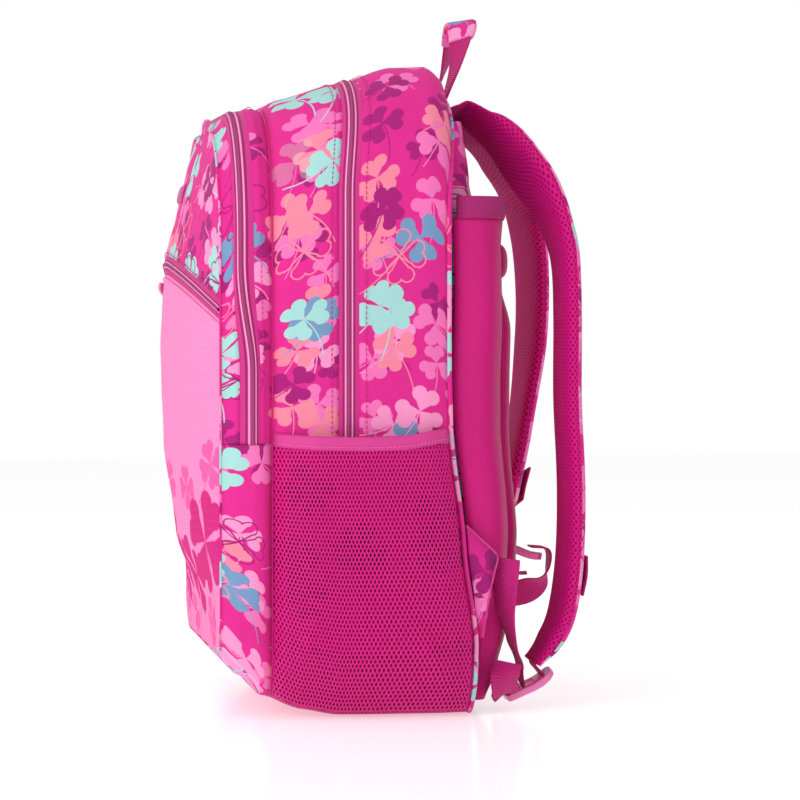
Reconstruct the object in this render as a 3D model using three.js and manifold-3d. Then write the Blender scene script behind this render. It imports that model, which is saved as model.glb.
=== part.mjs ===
// School backpack, in millimetres. +Z up, front of the bag -Y, straps +Y, X across the width.
// The origin is on the floor, under the middle of the bag.
import * as THREE from 'three';
import { mergeVertices } from 'three/addons/utils/BufferGeometryUtils.js';
import Module from 'manifold-3d';

const wasm = await Module();
wasm.setup();
const { Manifold, Mesh: SolidMesh } = wasm;

// ---- driving dimensions -------------------------------------------------------------------
const HALF_WIDTH = 150;
const HEIGHT = 430;
const TOP_RADIUS = 85;
const BASE_RADIUS = 34;

const BACK_Y = 37; // back wall, outer face
const MAIN_ZIP_Y = -31;
const DIVIDER_Y = -80; // seam between main and front compartments
const FRONT_ZIP_Y = -97;
const FRONT_Y = -112; // front edge of the front compartment
const LOWER_TOP_Z = 180; // where the zips end and the lower side walls begin

const CLOTH = 1.6; // lined fabric
const EDGE = 1.4; // from a wall's middle to the strips sewn to it
const REAR_EDGE = BACK_Y - 3.8;
const FRONT_EDGE = FRONT_Y + 1.8;
const GAP = 0.3;
const TAPE_HALF = 8; // visible half width of a closed zip
const COIL_HALF = 1.6;

const STRAP_WIDTH = 64;
const STRAP_THICKNESS = 12;
const WEBBING_WIDTH = 20;
const WEBBING_THICKNESS = 1.4;

const group = new THREE.Group();

// ---- helpers ------------------------------------------------------------------------------
const smooth = (t) => {
  const c = Math.min(Math.max(t, 0), 1);
  return c * c * (3 - 2 * c);
};
const lerp = (a, b, t) => a + (b - a) * t;

// Smooth curve through [x, y] knots.
function profile(knots) {
  return (x) => {
    if (x <= knots[0][0]) return knots[0][1];
    for (let i = 1; i < knots.length; i += 1) {
      const [x1, y1] = knots[i];
      const [x0, y0] = knots[i - 1];
      if (x <= x1) return lerp(y0, y1, smooth((x - x0) / (x1 - x0)) * 0.5 + ((x - x0) / (x1 - x0)) * 0.5);
    }
    return knots[knots.length - 1][1];
  };
}

function closeUp(geometry) {
  geometry.deleteAttribute('uv');
  geometry.deleteAttribute('normal');
  const merged = mergeVertices(geometry, 1e-4);
  merged.computeVertexNormals();
  return merged;
}

function add(name, geometry, colour, roughness = 0.85) {
  const material = new THREE.MeshStandardMaterial({ color: colour, roughness, metalness: 0 });
  const mesh = new THREE.Mesh(closeUp(geometry), material);
  mesh.name = name;
  group.add(mesh);
  return mesh;
}

// A box cut into cells, each of its points moved by place(a, b, c).
function mapped(size, cells, place) {
  const geometry = new THREE.BoxGeometry(size[0], size[1], size[2], cells[0], cells[1], cells[2]);
  const points = geometry.attributes.position;
  for (let i = 0; i < points.count; i += 1) {
    const p = place(points.getX(i), points.getY(i), points.getZ(i));
    points.setXYZ(i, p[0], p[1], p[2]);
  }
  return geometry;
}

// ---- the bag's shell ----------------------------------------------------------------------
// The front view is a rounded rectangle. s runs round it from the middle of the base towards
// +X, o is the distance outside it and y the depth. warp() then gives the bag its real lean.
const BASE_FLAT = HALF_WIDTH - BASE_RADIUS;
const TOP_FLAT = HALF_WIDTH - TOP_RADIUS;
const S_BASE_ARC = BASE_FLAT + (BASE_RADIUS * Math.PI) / 2;
const S_SIDE = S_BASE_ARC + HEIGHT - BASE_RADIUS - TOP_RADIUS;
const S_TOP_ARC = S_SIDE + (TOP_RADIUS * Math.PI) / 2;
const S_TOP = S_TOP_ARC + TOP_FLAT; // top centre; the far side mirrors it
const sAtHeight = (z) => S_BASE_ARC + z - BASE_RADIUS; // on the straight part of the side

function outline(s) {
  const mirrored = s > S_TOP || s < 0;
  let t = Math.abs(s);
  if (s > S_TOP) t = 2 * S_TOP - s;
  let x;
  let z;
  let nx;
  let nz;
  if (t < BASE_FLAT) {
    [x, z, nx, nz] = [t, 0, 0, -1];
  } else if (t < S_BASE_ARC) {
    const a = (t - BASE_FLAT) / BASE_RADIUS;
    [nx, nz] = [Math.sin(a), -Math.cos(a)];
    [x, z] = [BASE_FLAT + BASE_RADIUS * nx, BASE_RADIUS + BASE_RADIUS * nz];
  } else if (t < S_SIDE) {
    [x, z, nx, nz] = [HALF_WIDTH, BASE_RADIUS + t - S_BASE_ARC, 1, 0];
  } else if (t < S_TOP_ARC) {
    const a = (t - S_SIDE) / TOP_RADIUS;
    [nx, nz] = [Math.cos(a), Math.sin(a)];
    [x, z] = [TOP_FLAT + TOP_RADIUS * nx, HEIGHT - TOP_RADIUS + TOP_RADIUS * nz];
  } else {
    [x, z, nx, nz] = [TOP_FLAT - (t - S_TOP_ARC), HEIGHT, 0, 1];
  }
  return mirrored ? [-x, z, -nx, nz] : [x, z, nx, nz];
}

// Front to back: how far the top edge, the base edge and the sides stand from the plain shape.
const topLift = profile([
  [-112, -42], [-100, -31], [-86, -27], [-80, -29], [-72, -23], [-31, -9], [0, 0], [24, 1], [32, -4],
  [37, -22],
]);
const baseLift = profile([[-112, 40], [-104, 28], [-87, 14], [-60, 4], [-35, 0]]);
const sideShift = profile([
  [-112, -16], [-104, -9], [-96, -6], [-86, -6], [-80, -9], [-72, -3], [-50, 1], [-20, 3], [20, 1], [37, -3],
]);
// The lower back pushes rearwards; the upper body leans back a little.
const lowerBack = profile([[0, 17], [50, 18], [110, 10], [190, 1], [240, 0]]);

function warp(x, y, z) {
  const up = smooth((z - 170) / 160);
  const down = 1 - smooth(z / 170);
  const rear = smooth((y - MAIN_ZIP_Y) / (BACK_Y - MAIN_ZIP_Y));
  const lean = 6.5 * smooth((z - 350) / 75) * smooth((y - DIVIDER_Y) / 45);
  const zipShift = 4 * (1 - 2 * smooth((z - 240) / 90)) * smooth(1 - Math.abs(y - FRONT_ZIP_Y) / 14);
  const reach = Math.sign(x) * smooth(Math.abs(x) / 60);
  return [
    x + reach * sideShift(y),
    y + rear * lowerBack(z) + lean + zipShift,
    z + up * topLift(y) + down * baseLift(y),
  ];
}

function shell(s, y, o) {
  const [x, z, nx, nz] = outline(s);
  return warp(x + nx * o, y, z + nz * o);
}

// A strip of the side wall between two places round the outline and two depths.
function band(name, s0, s1, y0, y1, o0, o1, cells, colour) {
  const geometry = mapped([s1 - s0, o1 - o0, y1 - y0], [cells[0], 1, cells[1]], (a, b, c) =>
    shell((s0 + s1) / 2 + a, (y0 + y1) / 2 + c, (o0 + o1) / 2 + b));
  return add(name, geometry, colour);
}

// A wall across the bag, from height row z0 to z1, between two depths. bulge(u, z) is how far
// its points stand towards -Y and rise(u, z) how far they are lifted; u is -1..1 across.
function wall(name, z0, z1, outer, inset, cells, colour, bulge, rise = () => 0) {
  const [yFront, yBack] = outer;
  const geometry = mapped([2, yBack - yFront, 1], [cells[0], 1, cells[1]], (u, b, v) => {
    const s = rowParameter(lerp(z0, z1, v + 0.5));
    const [x, z] = outline(s);
    const yEdge = (yFront + yBack) / 2;
    const scale = (x - inset) / x;
    const tall = (z - HEIGHT / 2) * (1 - inset / (HEIGHT / 2)) + HEIGHT / 2;
    const p = warp(x * scale * u, yEdge, tall);
    return [p[0], p[1] + b - bulge(u, p[2]), p[2] + rise(u, p[2])];
  });
  return add(name, geometry, colour);
}

// Where on the right-hand outline the plain height z is reached.
function rowParameter(z) {
  if (z <= 0) return BASE_FLAT;
  if (z < BASE_RADIUS) return BASE_FLAT + BASE_RADIUS * Math.acos(1 - z / BASE_RADIUS);
  if (z <= HEIGHT - TOP_RADIUS) return sAtHeight(z);
  const a = Math.asin(Math.min((z - HEIGHT + TOP_RADIUS) / TOP_RADIUS, 1));
  return S_SIDE + a * TOP_RADIUS;
}

// A flat strip along a curve. across(t) gives the width direction.
function ribbon(name, points, width, thickness, segments, across, colour, roughness) {
  const curve = new THREE.CatmullRomCurve3(points.map((p) => new THREE.Vector3(...p)), false, 'centripetal');
  const geometry = mapped([1, 1, 1], [2, 1, segments], (a, b, c) => {
    const t = c + 0.5;
    const centre = curve.getPointAt(t);
    const along = curve.getTangentAt(t);
    const wide = new THREE.Vector3(...across(t));
    wide.addScaledVector(along, -wide.dot(along)).normalize();
    const normal = along.clone().cross(wide);
    const w = typeof width === 'function' ? width(t) : width;
    const h = typeof thickness === 'function' ? thickness(t) : thickness;
    const p = centre.addScaledVector(wide, a * w).addScaledVector(normal, b * h);
    return [p.x, p.y, p.z];
  });
  return add(name, geometry, colour, roughness);
}

// ---- colours ------------------------------------------------------------------------------
const PRINT = 0xe14598;
const PINK = 0xf48cc6;
const MAGENTA = 0xcd257d;
const DEEP = 0x9b3068;
const LINING = 0xb4457f;
const PLASTIC = 0xdf85b5;

// ---- main compartment ---------------------------------------------------------------------
const S_LOWER = sAtHeight(LOWER_TOP_Z);
const ARCH = [S_LOWER + GAP, 2 * S_TOP - S_LOWER - GAP];

function mainBody() {
  const flat = () => 0;
  wall('back_wall', 0, HEIGHT, [BACK_Y - 3, BACK_Y], 0, [2, 20], LINING, flat);
  wall('divider_wall', 0, HEIGHT, [DIVIDER_Y - 0.6, DIVIDER_Y + 0.6], 0, [2, 20], LINING, flat);
  band('gusset_rear', ...ARCH, MAIN_ZIP_Y + TAPE_HALF + GAP, REAR_EDGE, -CLOTH, 0, [28, 5], PRINT);
  band('gusset_front', ...ARCH, DIVIDER_Y + EDGE, MAIN_ZIP_Y - TAPE_HALF - GAP, -CLOTH, 0, [28, 3], PRINT);
  band('side_wall_left', sAtHeight(42), S_LOWER, DIVIDER_Y + EDGE, REAR_EDGE, -CLOTH, 0, [4, 6], PRINT);
  band('side_wall_right', -S_LOWER, -sAtHeight(42), DIVIDER_Y + EDGE, REAR_EDGE, -CLOTH, 0, [4, 6], PRINT);
  const sBase = sAtHeight(42) - GAP;
  band('base_panel', -sBase, sBase, DIVIDER_Y + EDGE, REAR_EDGE, -CLOTH, 0, [20, 6], PRINT);
}

// A zip over the arch: two tapes and the coil between them.
function archZip(prefix, y) {
  band(`${prefix}_zip_tape_rear`, ...ARCH, y + COIL_HALF, y + TAPE_HALF, -1, 0.2, [28, 1], MAGENTA);
  band(`${prefix}_zip_tape_front`, ...ARCH, y - TAPE_HALF, y - COIL_HALF, -1, 0.2, [28, 1], MAGENTA);
  band(`${prefix}_zip_coil`, ...ARCH, y - COIL_HALF + GAP, y + COIL_HALF - GAP, -1, 1.4, [28, 1], DEEP);
}

// ---- front compartment --------------------------------------------------------------------
const frontBulge = profile([
  [40, 0], [71, 10], [113, 20], [176, 26], [239, 28], [302, 25.5], [344, 17.5], [365, 11], [388, 0],
]);

// The pocket zip is an arc of one circle in a tilted plane.
const POCKET_HALF = 133.5; // half the arc's chord
const POCKET_RISE = 31; // how much higher its middle is than its ends
const POCKET_END_Z = 268;
const POCKET_DEPTH = 26; // how much farther forward its middle is
const POCKET_SAG = Math.hypot(POCKET_RISE, POCKET_DEPTH);
const POCKET_RADIUS = (POCKET_HALF ** 2 + POCKET_SAG ** 2) / (2 * POCKET_SAG);
function crown(u) {
  const w = Math.min(Math.abs(u), 1) * POCKET_HALF;
  return (Math.sqrt(POCKET_RADIUS ** 2 - w ** 2) - (POCKET_RADIUS - POCKET_SAG)) / POCKET_SAG;
}
const rowBow = profile([[60, 0], [POCKET_END_Z, 1], [388, 0]]);
const bulge = (u, z) => crown(u) * frontBulge(z + POCKET_RISE * crown(u) * rowBow(z));
const rise = (u, z) => POCKET_RISE * crown(u) * rowBow(z);

// Plain rows: a wall edge at warped height z starts from the plain height that warp() lifts to z.
function plainRow(target, y) {
  let low = 0;
  let high = HEIGHT;
  for (let i = 0; i < 40; i += 1) {
    const middle = (low + high) / 2;
    if (warp(HALF_WIDTH, y, middle)[2] < target) low = middle;
    else high = middle;
  }
  return low;
}

// A point of the pocket zip's arc, u of the way across and stand mm in front of the edge.
function pocketPoint(u, stand) {
  const y = FRONT_Y - stand - POCKET_DEPTH * crown(u);
  return [POCKET_HALF * u, y, POCKET_END_Z + POCKET_RISE * crown(u)];
}
const POCKET_SLIDER_AT = -0.93;

function frontCompartment() {
  const zipEdge = TAPE_HALF + GAP;
  band('front_gusset_rear', ...ARCH, FRONT_ZIP_Y + zipEdge, DIVIDER_Y - EDGE, -CLOTH, 0, [28, 2], PRINT);
  band('front_gusset_front', ...ARCH, FRONT_EDGE, FRONT_ZIP_Y - zipEdge, -CLOTH, 0, [28, 2], PRINT);
  band('front_gusset_lower', -S_LOWER, S_LOWER, FRONT_EDGE, DIVIDER_Y - EDGE, -CLOTH, 0, [26, 3], PRINT);

  const zipRow = plainRow(POCKET_END_Z, FRONT_Y);
  const face = (name, z0, z1, depth, cells, colour) =>
    wall(name, z0, z1, [FRONT_Y - depth, FRONT_Y - depth + 1.4], 0.5, cells, colour, bulge, rise);
  wall('front_lining', 0, HEIGHT, [FRONT_Y, FRONT_Y + 1.2], 0, [2, 20], LINING, () => 0);
  face('front_panel_upper', zipRow + TAPE_HALF + 2 * GAP, HEIGHT - 0.5, 2, [12, 7], PRINT);
  face('front_pocket', 0.5, zipRow - TAPE_HALF - 2 * GAP, 2, [12, 12], PINK);
  face('pocket_zip_tape_upper', zipRow + COIL_HALF, zipRow + TAPE_HALF, 2, [16, 1], MAGENTA);
  face('pocket_zip_tape_lower', zipRow - TAPE_HALF, zipRow - COIL_HALF, 2, [16, 1], MAGENTA);
  face('pocket_zip_coil', zipRow - COIL_HALF + GAP, zipRow + COIL_HALF - GAP, 2.8, [16, 1], DEEP);
}

// ---- side pockets -------------------------------------------------------------------------
const POCKET_TOP_Z = 180;
const BINDING_HEIGHT = 8;
const POCKET_BULGE = 10;

// How far the mesh stands off the side wall: nothing at its sewn edges, most in the middle.
function standOff(y, z) {
  const across = (y - DIVIDER_Y) / (BACK_Y - DIVIDER_Y);
  const side = 1 - Math.abs(2 * across - 1) ** 4;
  return 0.8 + POCKET_BULGE * side * smooth((z - 12) / 40);
}

function sidePocket(side, tag) {
  const strip = (name, z0, z1, thickness, cells, colour) => {
    const geometry = mapped([z1 - z0, thickness, 108], [cells[0], 1, cells[1]], (a, b, c) => {
      const z = (z0 + z1) / 2 + side * a;
      const y = (DIVIDER_Y + BACK_Y) / 2 - 1 + c;
      const s = side * rowParameter(z);
      return shell(s, y, standOff(y, z) + thickness / 2 + b);
    });
    add(name, geometry, colour);
  };
  strip(`side_pocket_mesh_${tag}`, 14, POCKET_TOP_Z - GAP, 1.2, [10, 10], MAGENTA);
  strip(`side_pocket_binding_${tag}`, POCKET_TOP_Z, POCKET_TOP_Z + BINDING_HEIGHT, 2, [1, 10], PRINT);
}

// ---- back: padding and trolley sleeve -----------------------------------------------------
const SLEEVE_TOP_Z = 328;
const HEM = 14;
const seamY = (z) => warp(HALF_WIDTH, BACK_Y, plainRow(z, BACK_Y))[1];
const padDepth = profile([[6, 8], [60, 20], [120, 30], [250, 33], [325, 33], [352, 22], [392, 14], [402, 8]]);
const sleeveDepth = profile([[6, 12], [24, 20], [70, 32], [120, 38], [250, 43], [310, 42], [340, 45]]);
const rounded = (u, power) => (1 - Math.abs(u) ** power) ** (1 / power);

// A closed sheet or cushion across the back. depth(u, z) is its outer face behind the seam.
function backSheet(name, half, z0, z1, thickness, cells, colour, depth) {
  const geometry = mapped([2, 1, z1 - z0], [cells[0], 1, cells[1]], (u, b, c) => {
    const z = (z0 + z1) / 2 + c;
    const y = seamY(z) + depth(u, z) + (b - 0.5) * thickness(u, z);
    return [half(z) * u, y, z];
  });
  return add(name, geometry, colour);
}

function back() {
  const padHalf = (z) => lerp(108, 126, smooth(z / 150)) - 30 * smooth((z - 330) / 75);
  const padFace = (u, z) => 1.2 + padDepth(z) * rounded(u, 3);
  backSheet('back_padding', padHalf, 8, 392, (u, z) => padFace(u, z) - 0.9, [10, 14], PRINT, padFace);

  const sleeveHalf = (z) => lerp(118, 138, smooth(z / 150));
  const sleeveFace = (u, z) => 3.2 + sleeveDepth(z) * rounded(u, 3.4);
  backSheet('trolley_sleeve', sleeveHalf, 8, SLEEVE_TOP_Z, () => 1.8, [14, 11], MAGENTA, sleeveFace);
  const hemFace = (u, z) => sleeveFace(u, z) + 0.6;
  const [hemLow, hemHigh] = [SLEEVE_TOP_Z + GAP, SLEEVE_TOP_Z + HEM];
  backSheet('sleeve_hem', sleeveHalf, hemLow, hemHigh, () => 3, [14, 1], MAGENTA, hemFace);

  backPad('back_pad_top', 0, 76, 289, 312, 8.5, MAGENTA, sleeveFace, 138);
  for (const [side, tag] of [[1, 'left'], [-1, 'right']]) {
    backPad(`back_pad_${tag}`, side * 50, 34, 70, 284, 7, MAGENTA, sleeveFace, 138);
  }
}

// A moulded pad on the sleeve's outer face.
const PAD_STAND = 1.6;
function backPad(name, x, half, z0, z1, thickness, colour, face, sleeveHalf) {
  const geometry = mapped([2, 1, 2], [4, 1, z1 - z0 > 60 ? 10 : 4], (u, b, v) => {
    const z = lerp(z0, z1, (v + 1) / 2);
    const px = x + half * u;
    const puff = thickness * (0.15 + 0.85 * rounded(u, 3) * rounded(v, z1 - z0 > 60 ? 12 : 3));
    const base = seamY(z) + face(px / sleeveHalf, z) + PAD_STAND;
    return [px, base + (b + 0.5) * puff, z];
  });
  add(name, geometry, colour);
}

// ---- carrying parts -----------------------------------------------------------------------
const SIDES = [[1, 'left'], [-1, 'right']];
const wideX = () => [1, 0, 0];

// Centre lines, root to lower end. The right-hand strap hangs shorter and farther out.
const STRAP_PATHS = {
  left: [
    [51, 60, 402], [54, 77, 390.5], [62, 89.5, 377.5], [72, 101, 361], [84, 111, 344], [90, 119, 322],
    [93, 123.5, 300], [95, 124.5, 260], [95, 124.5, 208], [95, 127, 150], [95, 126, 101], [94, 121, 64],
    [94, 112, 44], [94, 101, 31],
  ],
  right: [
    [-51, 60, 402], [-55, 80, 394], [-65, 97, 383], [-78, 112, 366], [-96, 125, 345], [-106, 133, 318],
    [-114, 137, 288], [-118, 137.5, 256], [-118, 134, 218], [-113, 127, 178], [-106, 119, 145],
    [-98, 112, 112],
  ],
};
const LOCK_PLACES = {
  left: { centre: [94, 97, 13.5], tilt: 0.38 },
  right: { centre: [-96, 121, 94], tilt: -0.5 },
};

// How far each strap is rolled about its own line, in degrees: its wearer's-left edge stands out.
const STRAP_ROLL = {
  left: (t) => 10 * (1 - smooth((t - 0.12) / 0.25)),
  right: (t) => lerp(2, 6, smooth(t / 0.25)) * (1 - smooth((t - 0.6) / 0.18)),
};
function strapAcross(tag) {
  return (t) => {
    const roll = THREE.MathUtils.degToRad(STRAP_ROLL[tag](t));
    return [Math.cos(roll), Math.sin(roll), Math.sin(roll)];
  };
}

function shoulderStrap(side, tag) {
  const path = STRAP_PATHS[tag];
  const root = [[side * 51, 46, 400], [side * 51, 50, 401.6], [side * 51, 54.2, 402]];
  ribbon(`strap_root_${tag}`, root, 50, 3, 3, () => strapAcross(tag)(0), MAGENTA);
  // Narrower and thinner where it is sewn in at either end.
  const ends = (t, first, last) => lerp(first.least, 1, smooth(t / first.reach))
    * lerp(1, last.least, smooth((t - 1 + last.reach) / last.reach));
  const width = (t) => STRAP_WIDTH * ends(t, { least: 0.8, reach: 0.2 }, { least: 0.7, reach: 0.14 });
  const [head, tail] = [{ least: 0.35, reach: 0.07 }, { least: 0.4, reach: 0.06 }];
  const thickness = (t) => STRAP_THICKNESS * ends(t, head, tail);
  ribbon(`shoulder_strap_${tag}`, path, width, thickness, 26, strapAcross(tag), MAGENTA);
}

// Ladder lock: a curved plate with two slots. The webbing goes round its middle bar.
const LOCK = {
  half: 15, back: 16, front: 20, thickness: 3.6, slotHalf: 11.6, slotLength: 6.4, slots: [-9, 3.5],
};
function ladderLock(tag) {
  const { half, back: tail, front: lip } = LOCK;
  const shape = new THREE.Shape();
  shape.moveTo(-half, 5 - tail);
  shape.lineTo(-half, lip - 11);
  shape.quadraticCurveTo(-half, lip, 0, lip);
  shape.quadraticCurveTo(half, lip, half, lip - 11);
  shape.lineTo(half, 5 - tail);
  shape.quadraticCurveTo(half, -tail, half - 5, -tail);
  shape.lineTo(5 - half, -tail);
  shape.quadraticCurveTo(-half, -tail, -half, 5 - tail);
  for (const middle of LOCK.slots) {
    const slot = new THREE.Path();
    const [a, b] = [LOCK.slotHalf, LOCK.slotLength / 2];
    slot.moveTo(-a, middle - b);
    slot.lineTo(a, middle - b);
    slot.lineTo(a, middle + b);
    slot.lineTo(-a, middle + b);
    slot.closePath();
    shape.holes.push(slot);
  }
  const settings = { depth: LOCK.thickness, bevelEnabled: false, curveSegments: 4 };
  const plate = new THREE.ExtrudeGeometry(shape, settings);
  plate.translate(0, 0, -LOCK.thickness / 2);
  const { centre, tilt } = LOCK_PLACES[tag];
  plate.rotateX(tilt);
  plate.translate(...centre);
  add(`ladder_lock_${tag}`, plate, PLASTIC, 0.4);
}

// A point in a ladder lock's own frame: across, along its length, above its plate.
function onLock(tag, x, along, above) {
  const { centre, tilt } = LOCK_PLACES[tag];
  const p = new THREE.Vector3(x, along, above).applyAxisAngle(new THREE.Vector3(1, 0, 0), tilt);
  return [p.x + centre[0], p.y + centre[1], p.z + centre[2]];
}

// Printed wing sewn to the back seam; the adjuster webbing comes out of its point.
function anchorWing(side, tag) {
  const shape = new THREE.Shape();
  const corners = [[47.5, 126], [68, 106], [63, 80], [58.5, 52], [56.5, 52], [52.5, 80]];
  corners.forEach(([y, z], i) => (i ? shape.lineTo(y, z) : shape.moveTo(y, z)));
  const plate = new THREE.ExtrudeGeometry(shape, { depth: 2, bevelEnabled: false });
  // Extruded along Z with (y, z) in its plane: turned so that the plane stands across X.
  plate.applyMatrix4(new THREE.Matrix4().set(0, 0, 1, 0, 1, 0, 0, 0, 0, 1, 0, 0, 0, 0, 0, 1));
  plate.translate(side * 145 - 1, 0, 0);
  add(`anchor_wing_${tag}`, plate, PRINT);
}

const webbing = (name, points, segments, across) =>
  ribbon(name, points, WEBBING_WIDTH, WEBBING_THICKNESS, segments, across, MAGENTA, 0.7);

const ADJUSTER_PATHS = {
  left: [[142.4, 75, 103], [139, 74.5, 85], [132, 76, 66], [116, 83, 46], [98, 90.5, 31]],
  right: [
    [-142.4, 75, 103], [-140, 80, 84], [-132, 92, 66], [-118, 110, 60], [-106, 128, 62], [-98, 141, 71],
    [-96, 147, 83], [-96, 142.5, 92],
  ],
};

function adjuster(side, tag) {
  const path = ADJUSTER_PATHS[tag];
  const end = side > 0 ? onLock(tag, 0, -2.5, 4.6) : onLock(tag, 0, 8, 6);
  const twist = (t) => [smooth(t / 0.8), 1 - smooth(t / 0.8), 0];
  webbing(`adjuster_webbing_${tag}`, [...path, end], 20, twist);
}

// The short webbing that holds the lock to the padded strap.
function lockLoop(tag) {
  const path = STRAP_PATHS[tag];
  const end = new THREE.Vector3(...path[path.length - 1]);
  const before = new THREE.Vector3(...path[path.length - 2]);
  const out = end.clone().sub(before).normalize();
  const start = end.clone().addScaledVector(out, 1.6);
  const lip = new THREE.Vector3(...onLock(tag, 0, tag === 'left' ? 12.5 : -13, 4.4));
  const middle = start.clone().lerp(lip, 0.5).addScaledVector(out, 1.5);
  webbing(`lock_loop_${tag}`, [start, middle, lip].map((p) => p.toArray()), 4, wideX);
}

const TAIL_PATHS = {
  left: [[97, 81, 12.5], [110, 78, 11.5], [123, 74, 15], [131, 71, 25], [129, 73, 37]],
  right: [[-96, 111, 86], [-96, 116, 80], [-95, 123, 77], [-94, 130, 77]],
};
function webbingTail(tag) {
  // The left tail turns on edge as it curls up; the right one stays flat.
  const turning = (t) => {
    const turn = smooth((t - 0.2) * 2);
    return [1 - turn, 0.75 * turn, 0.55 * turn];
  };
  const start = onLock(tag, 0, -9, tag === 'left' ? 3.6 : -4.4);
  webbing(`webbing_tail_${tag}`, [start, ...TAIL_PATHS[tag]], 14, tag === 'left' ? turning : wideX);
}

// Band of webbing sewn across the outer face of each strap.
const KEEPER = { width: 40, thickness: 1.6 };
const KEEPER_PATHS = {
  left: [[95, 134.2, 103], [95, 134, 90], [94.6, 131.5, 77]],
  right: [[-106.5, 130, 150], [-104, 126.5, 138], [-101, 123.6, 126]],
};
function keeper(tag) {
  ribbon(`strap_keeper_${tag}`, KEEPER_PATHS[tag], KEEPER.width, KEEPER.thickness, 3, wideX, MAGENTA, 0.7);
}

// Haul loop: webbing that is flat in the seam and turns on edge over the top, with a printed sleeve.
const HAUL_HALF = 26;
const HAUL_POINTS = [
  [HAUL_HALF, 46.5, 404], [HAUL_HALF + 1, 53, 418], [HAUL_HALF, 60, 440], [14, 65, 460], [0, 66, 466],
  [-14, 65, 460], [-HAUL_HALF, 60, 440], [-HAUL_HALF - 1, 53, 418], [-HAUL_HALF, 46.5, 404],
];
function haulAcross(t) {
  const turn = Math.PI * smooth((t - 0.05) / 0.9);
  return [Math.cos(turn), Math.sin(turn), 0.15 * Math.sin(turn)];
}
function haulLoop() {
  ribbon('haul_loop', HAUL_POINTS, 18, 1.8, 26, haulAcross, MAGENTA, 0.7);
  const points = HAUL_POINTS.map((p) => new THREE.Vector3(...p));
  const curve = new THREE.CatmullRomCurve3(points, false, 'centripetal');
  // The sleeve is a flat tube round the webbing: an outline swept along the middle of the loop.
  const [from, to] = [0.36, 0.64];
  const rings = 12;
  const tube = (width, height, t0, t1) => mapped([1, 1, 1], [1, 1, rings], (a, b, c) => {
    const t = lerp(t0, t1, c + 0.5);
    const centre = curve.getPointAt(t);
    const along = curve.getTangentAt(t);
    const wide = new THREE.Vector3(...haulAcross(t));
    wide.addScaledVector(along, -wide.dot(along)).normalize();
    const normal = along.clone().cross(wide);
    const p = centre.addScaledVector(wide, width * a).addScaledVector(normal, height * b);
    return [p.x, p.y, p.z];
  });
  const solid = (geometry) => {
    const g = closeUp(geometry);
    return new Manifold(new SolidMesh({
      numProp: 3,
      vertProperties: new Float32Array(g.attributes.position.array),
      triVerts: new Uint32Array(g.index.array),
    }));
  };
  const bore = solid(tube(20, 3.4, from - 0.04, to + 0.04));
  const sleeve = solid(tube(22.4, 5.4, from, to)).subtract(bore).getMesh();
  const geometry = new THREE.BufferGeometry();
  geometry.setAttribute('position', new THREE.BufferAttribute(new Float32Array(sleeve.vertProperties), 3));
  geometry.setIndex(new THREE.BufferAttribute(new Uint32Array(sleeve.triVerts), 1));
  add('haul_sleeve', geometry, PRINT);
}

// ---- sliders and pulls --------------------------------------------------------------------
const SLIDER = { length: 10, width: 7, height: 3.4 };
const PULL = { length: 30, half: 3.4, thickness: 1.8, lift: 3.2, hole: 1.1, pivot: 0.6 };

function sliderBody() {
  const half = SLIDER.length / 2;
  const shape = new THREE.Shape();
  shape.moveTo(-half, -SLIDER.width / 2 + 1.2);
  shape.lineTo(-half, SLIDER.width / 2 - 1.2);
  shape.lineTo(half, SLIDER.width / 2);
  shape.lineTo(half, -SLIDER.width / 2);
  shape.closePath();
  return new THREE.ExtrudeGeometry(shape, { depth: SLIDER.height, bevelEnabled: false });
}

// Flat pull with a hole at its pivot end, lying along +X from the pivot at the origin.
function pullTab() {
  const shape = new THREE.Shape();
  shape.moveTo(-1.6, -2.2);
  shape.quadraticCurveTo(-2.2, 0, -1.6, 2.2);
  shape.lineTo(6, PULL.half);
  shape.lineTo(PULL.length - 4, PULL.half);
  shape.quadraticCurveTo(PULL.length, 0, PULL.length - 4, -PULL.half);
  shape.lineTo(6, -PULL.half);
  shape.closePath();
  const hole = new THREE.Path();
  for (let i = 0; i < 8; i += 1) {
    const angle = (i * Math.PI) / 4;
    const [x, y] = [PULL.pivot + PULL.hole * Math.cos(angle), PULL.hole * Math.sin(angle)];
    if (i) hole.lineTo(x, y);
    else hole.moveTo(x, y);
  }
  hole.closePath();
  shape.holes.push(hole);
  return new THREE.ExtrudeGeometry(shape, { depth: PULL.thickness, bevelEnabled: false, curveSegments: 6 });
}

// One slider and its pull, at a point of the zip. along is the zip's direction and out its
// outward normal, both unit; the pull lies back along the zip.
function zipPair(name, at, along, out) {
  const x = new THREE.Vector3(...along).normalize();
  const z = new THREE.Vector3(...out).addScaledVector(x, -x.dot(new THREE.Vector3(...out))).normalize();
  const y = z.clone().cross(x);
  const frame = new THREE.Matrix4().makeBasis(x, y, z).setPosition(...at);
  const body = sliderBody();
  body.translate(0, 0, 0.4);
  body.applyMatrix4(frame);
  add(`${name}_slider`, body, DEEP, 0.35);
  const tab = pullTab();
  tab.translate(0, 0, SLIDER.height + PULL.lift);
  tab.applyMatrix4(frame);
  add(`${name}_pull`, tab, PINK, 0.6);
}

// Both zips are closed, with their two sliders side by side half way round the right shoulder.
const SLIDERS_MEET = S_TOP + TOP_FLAT + TOP_RADIUS * 0.85;
const SLIDER_SPACING = 16;

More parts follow.
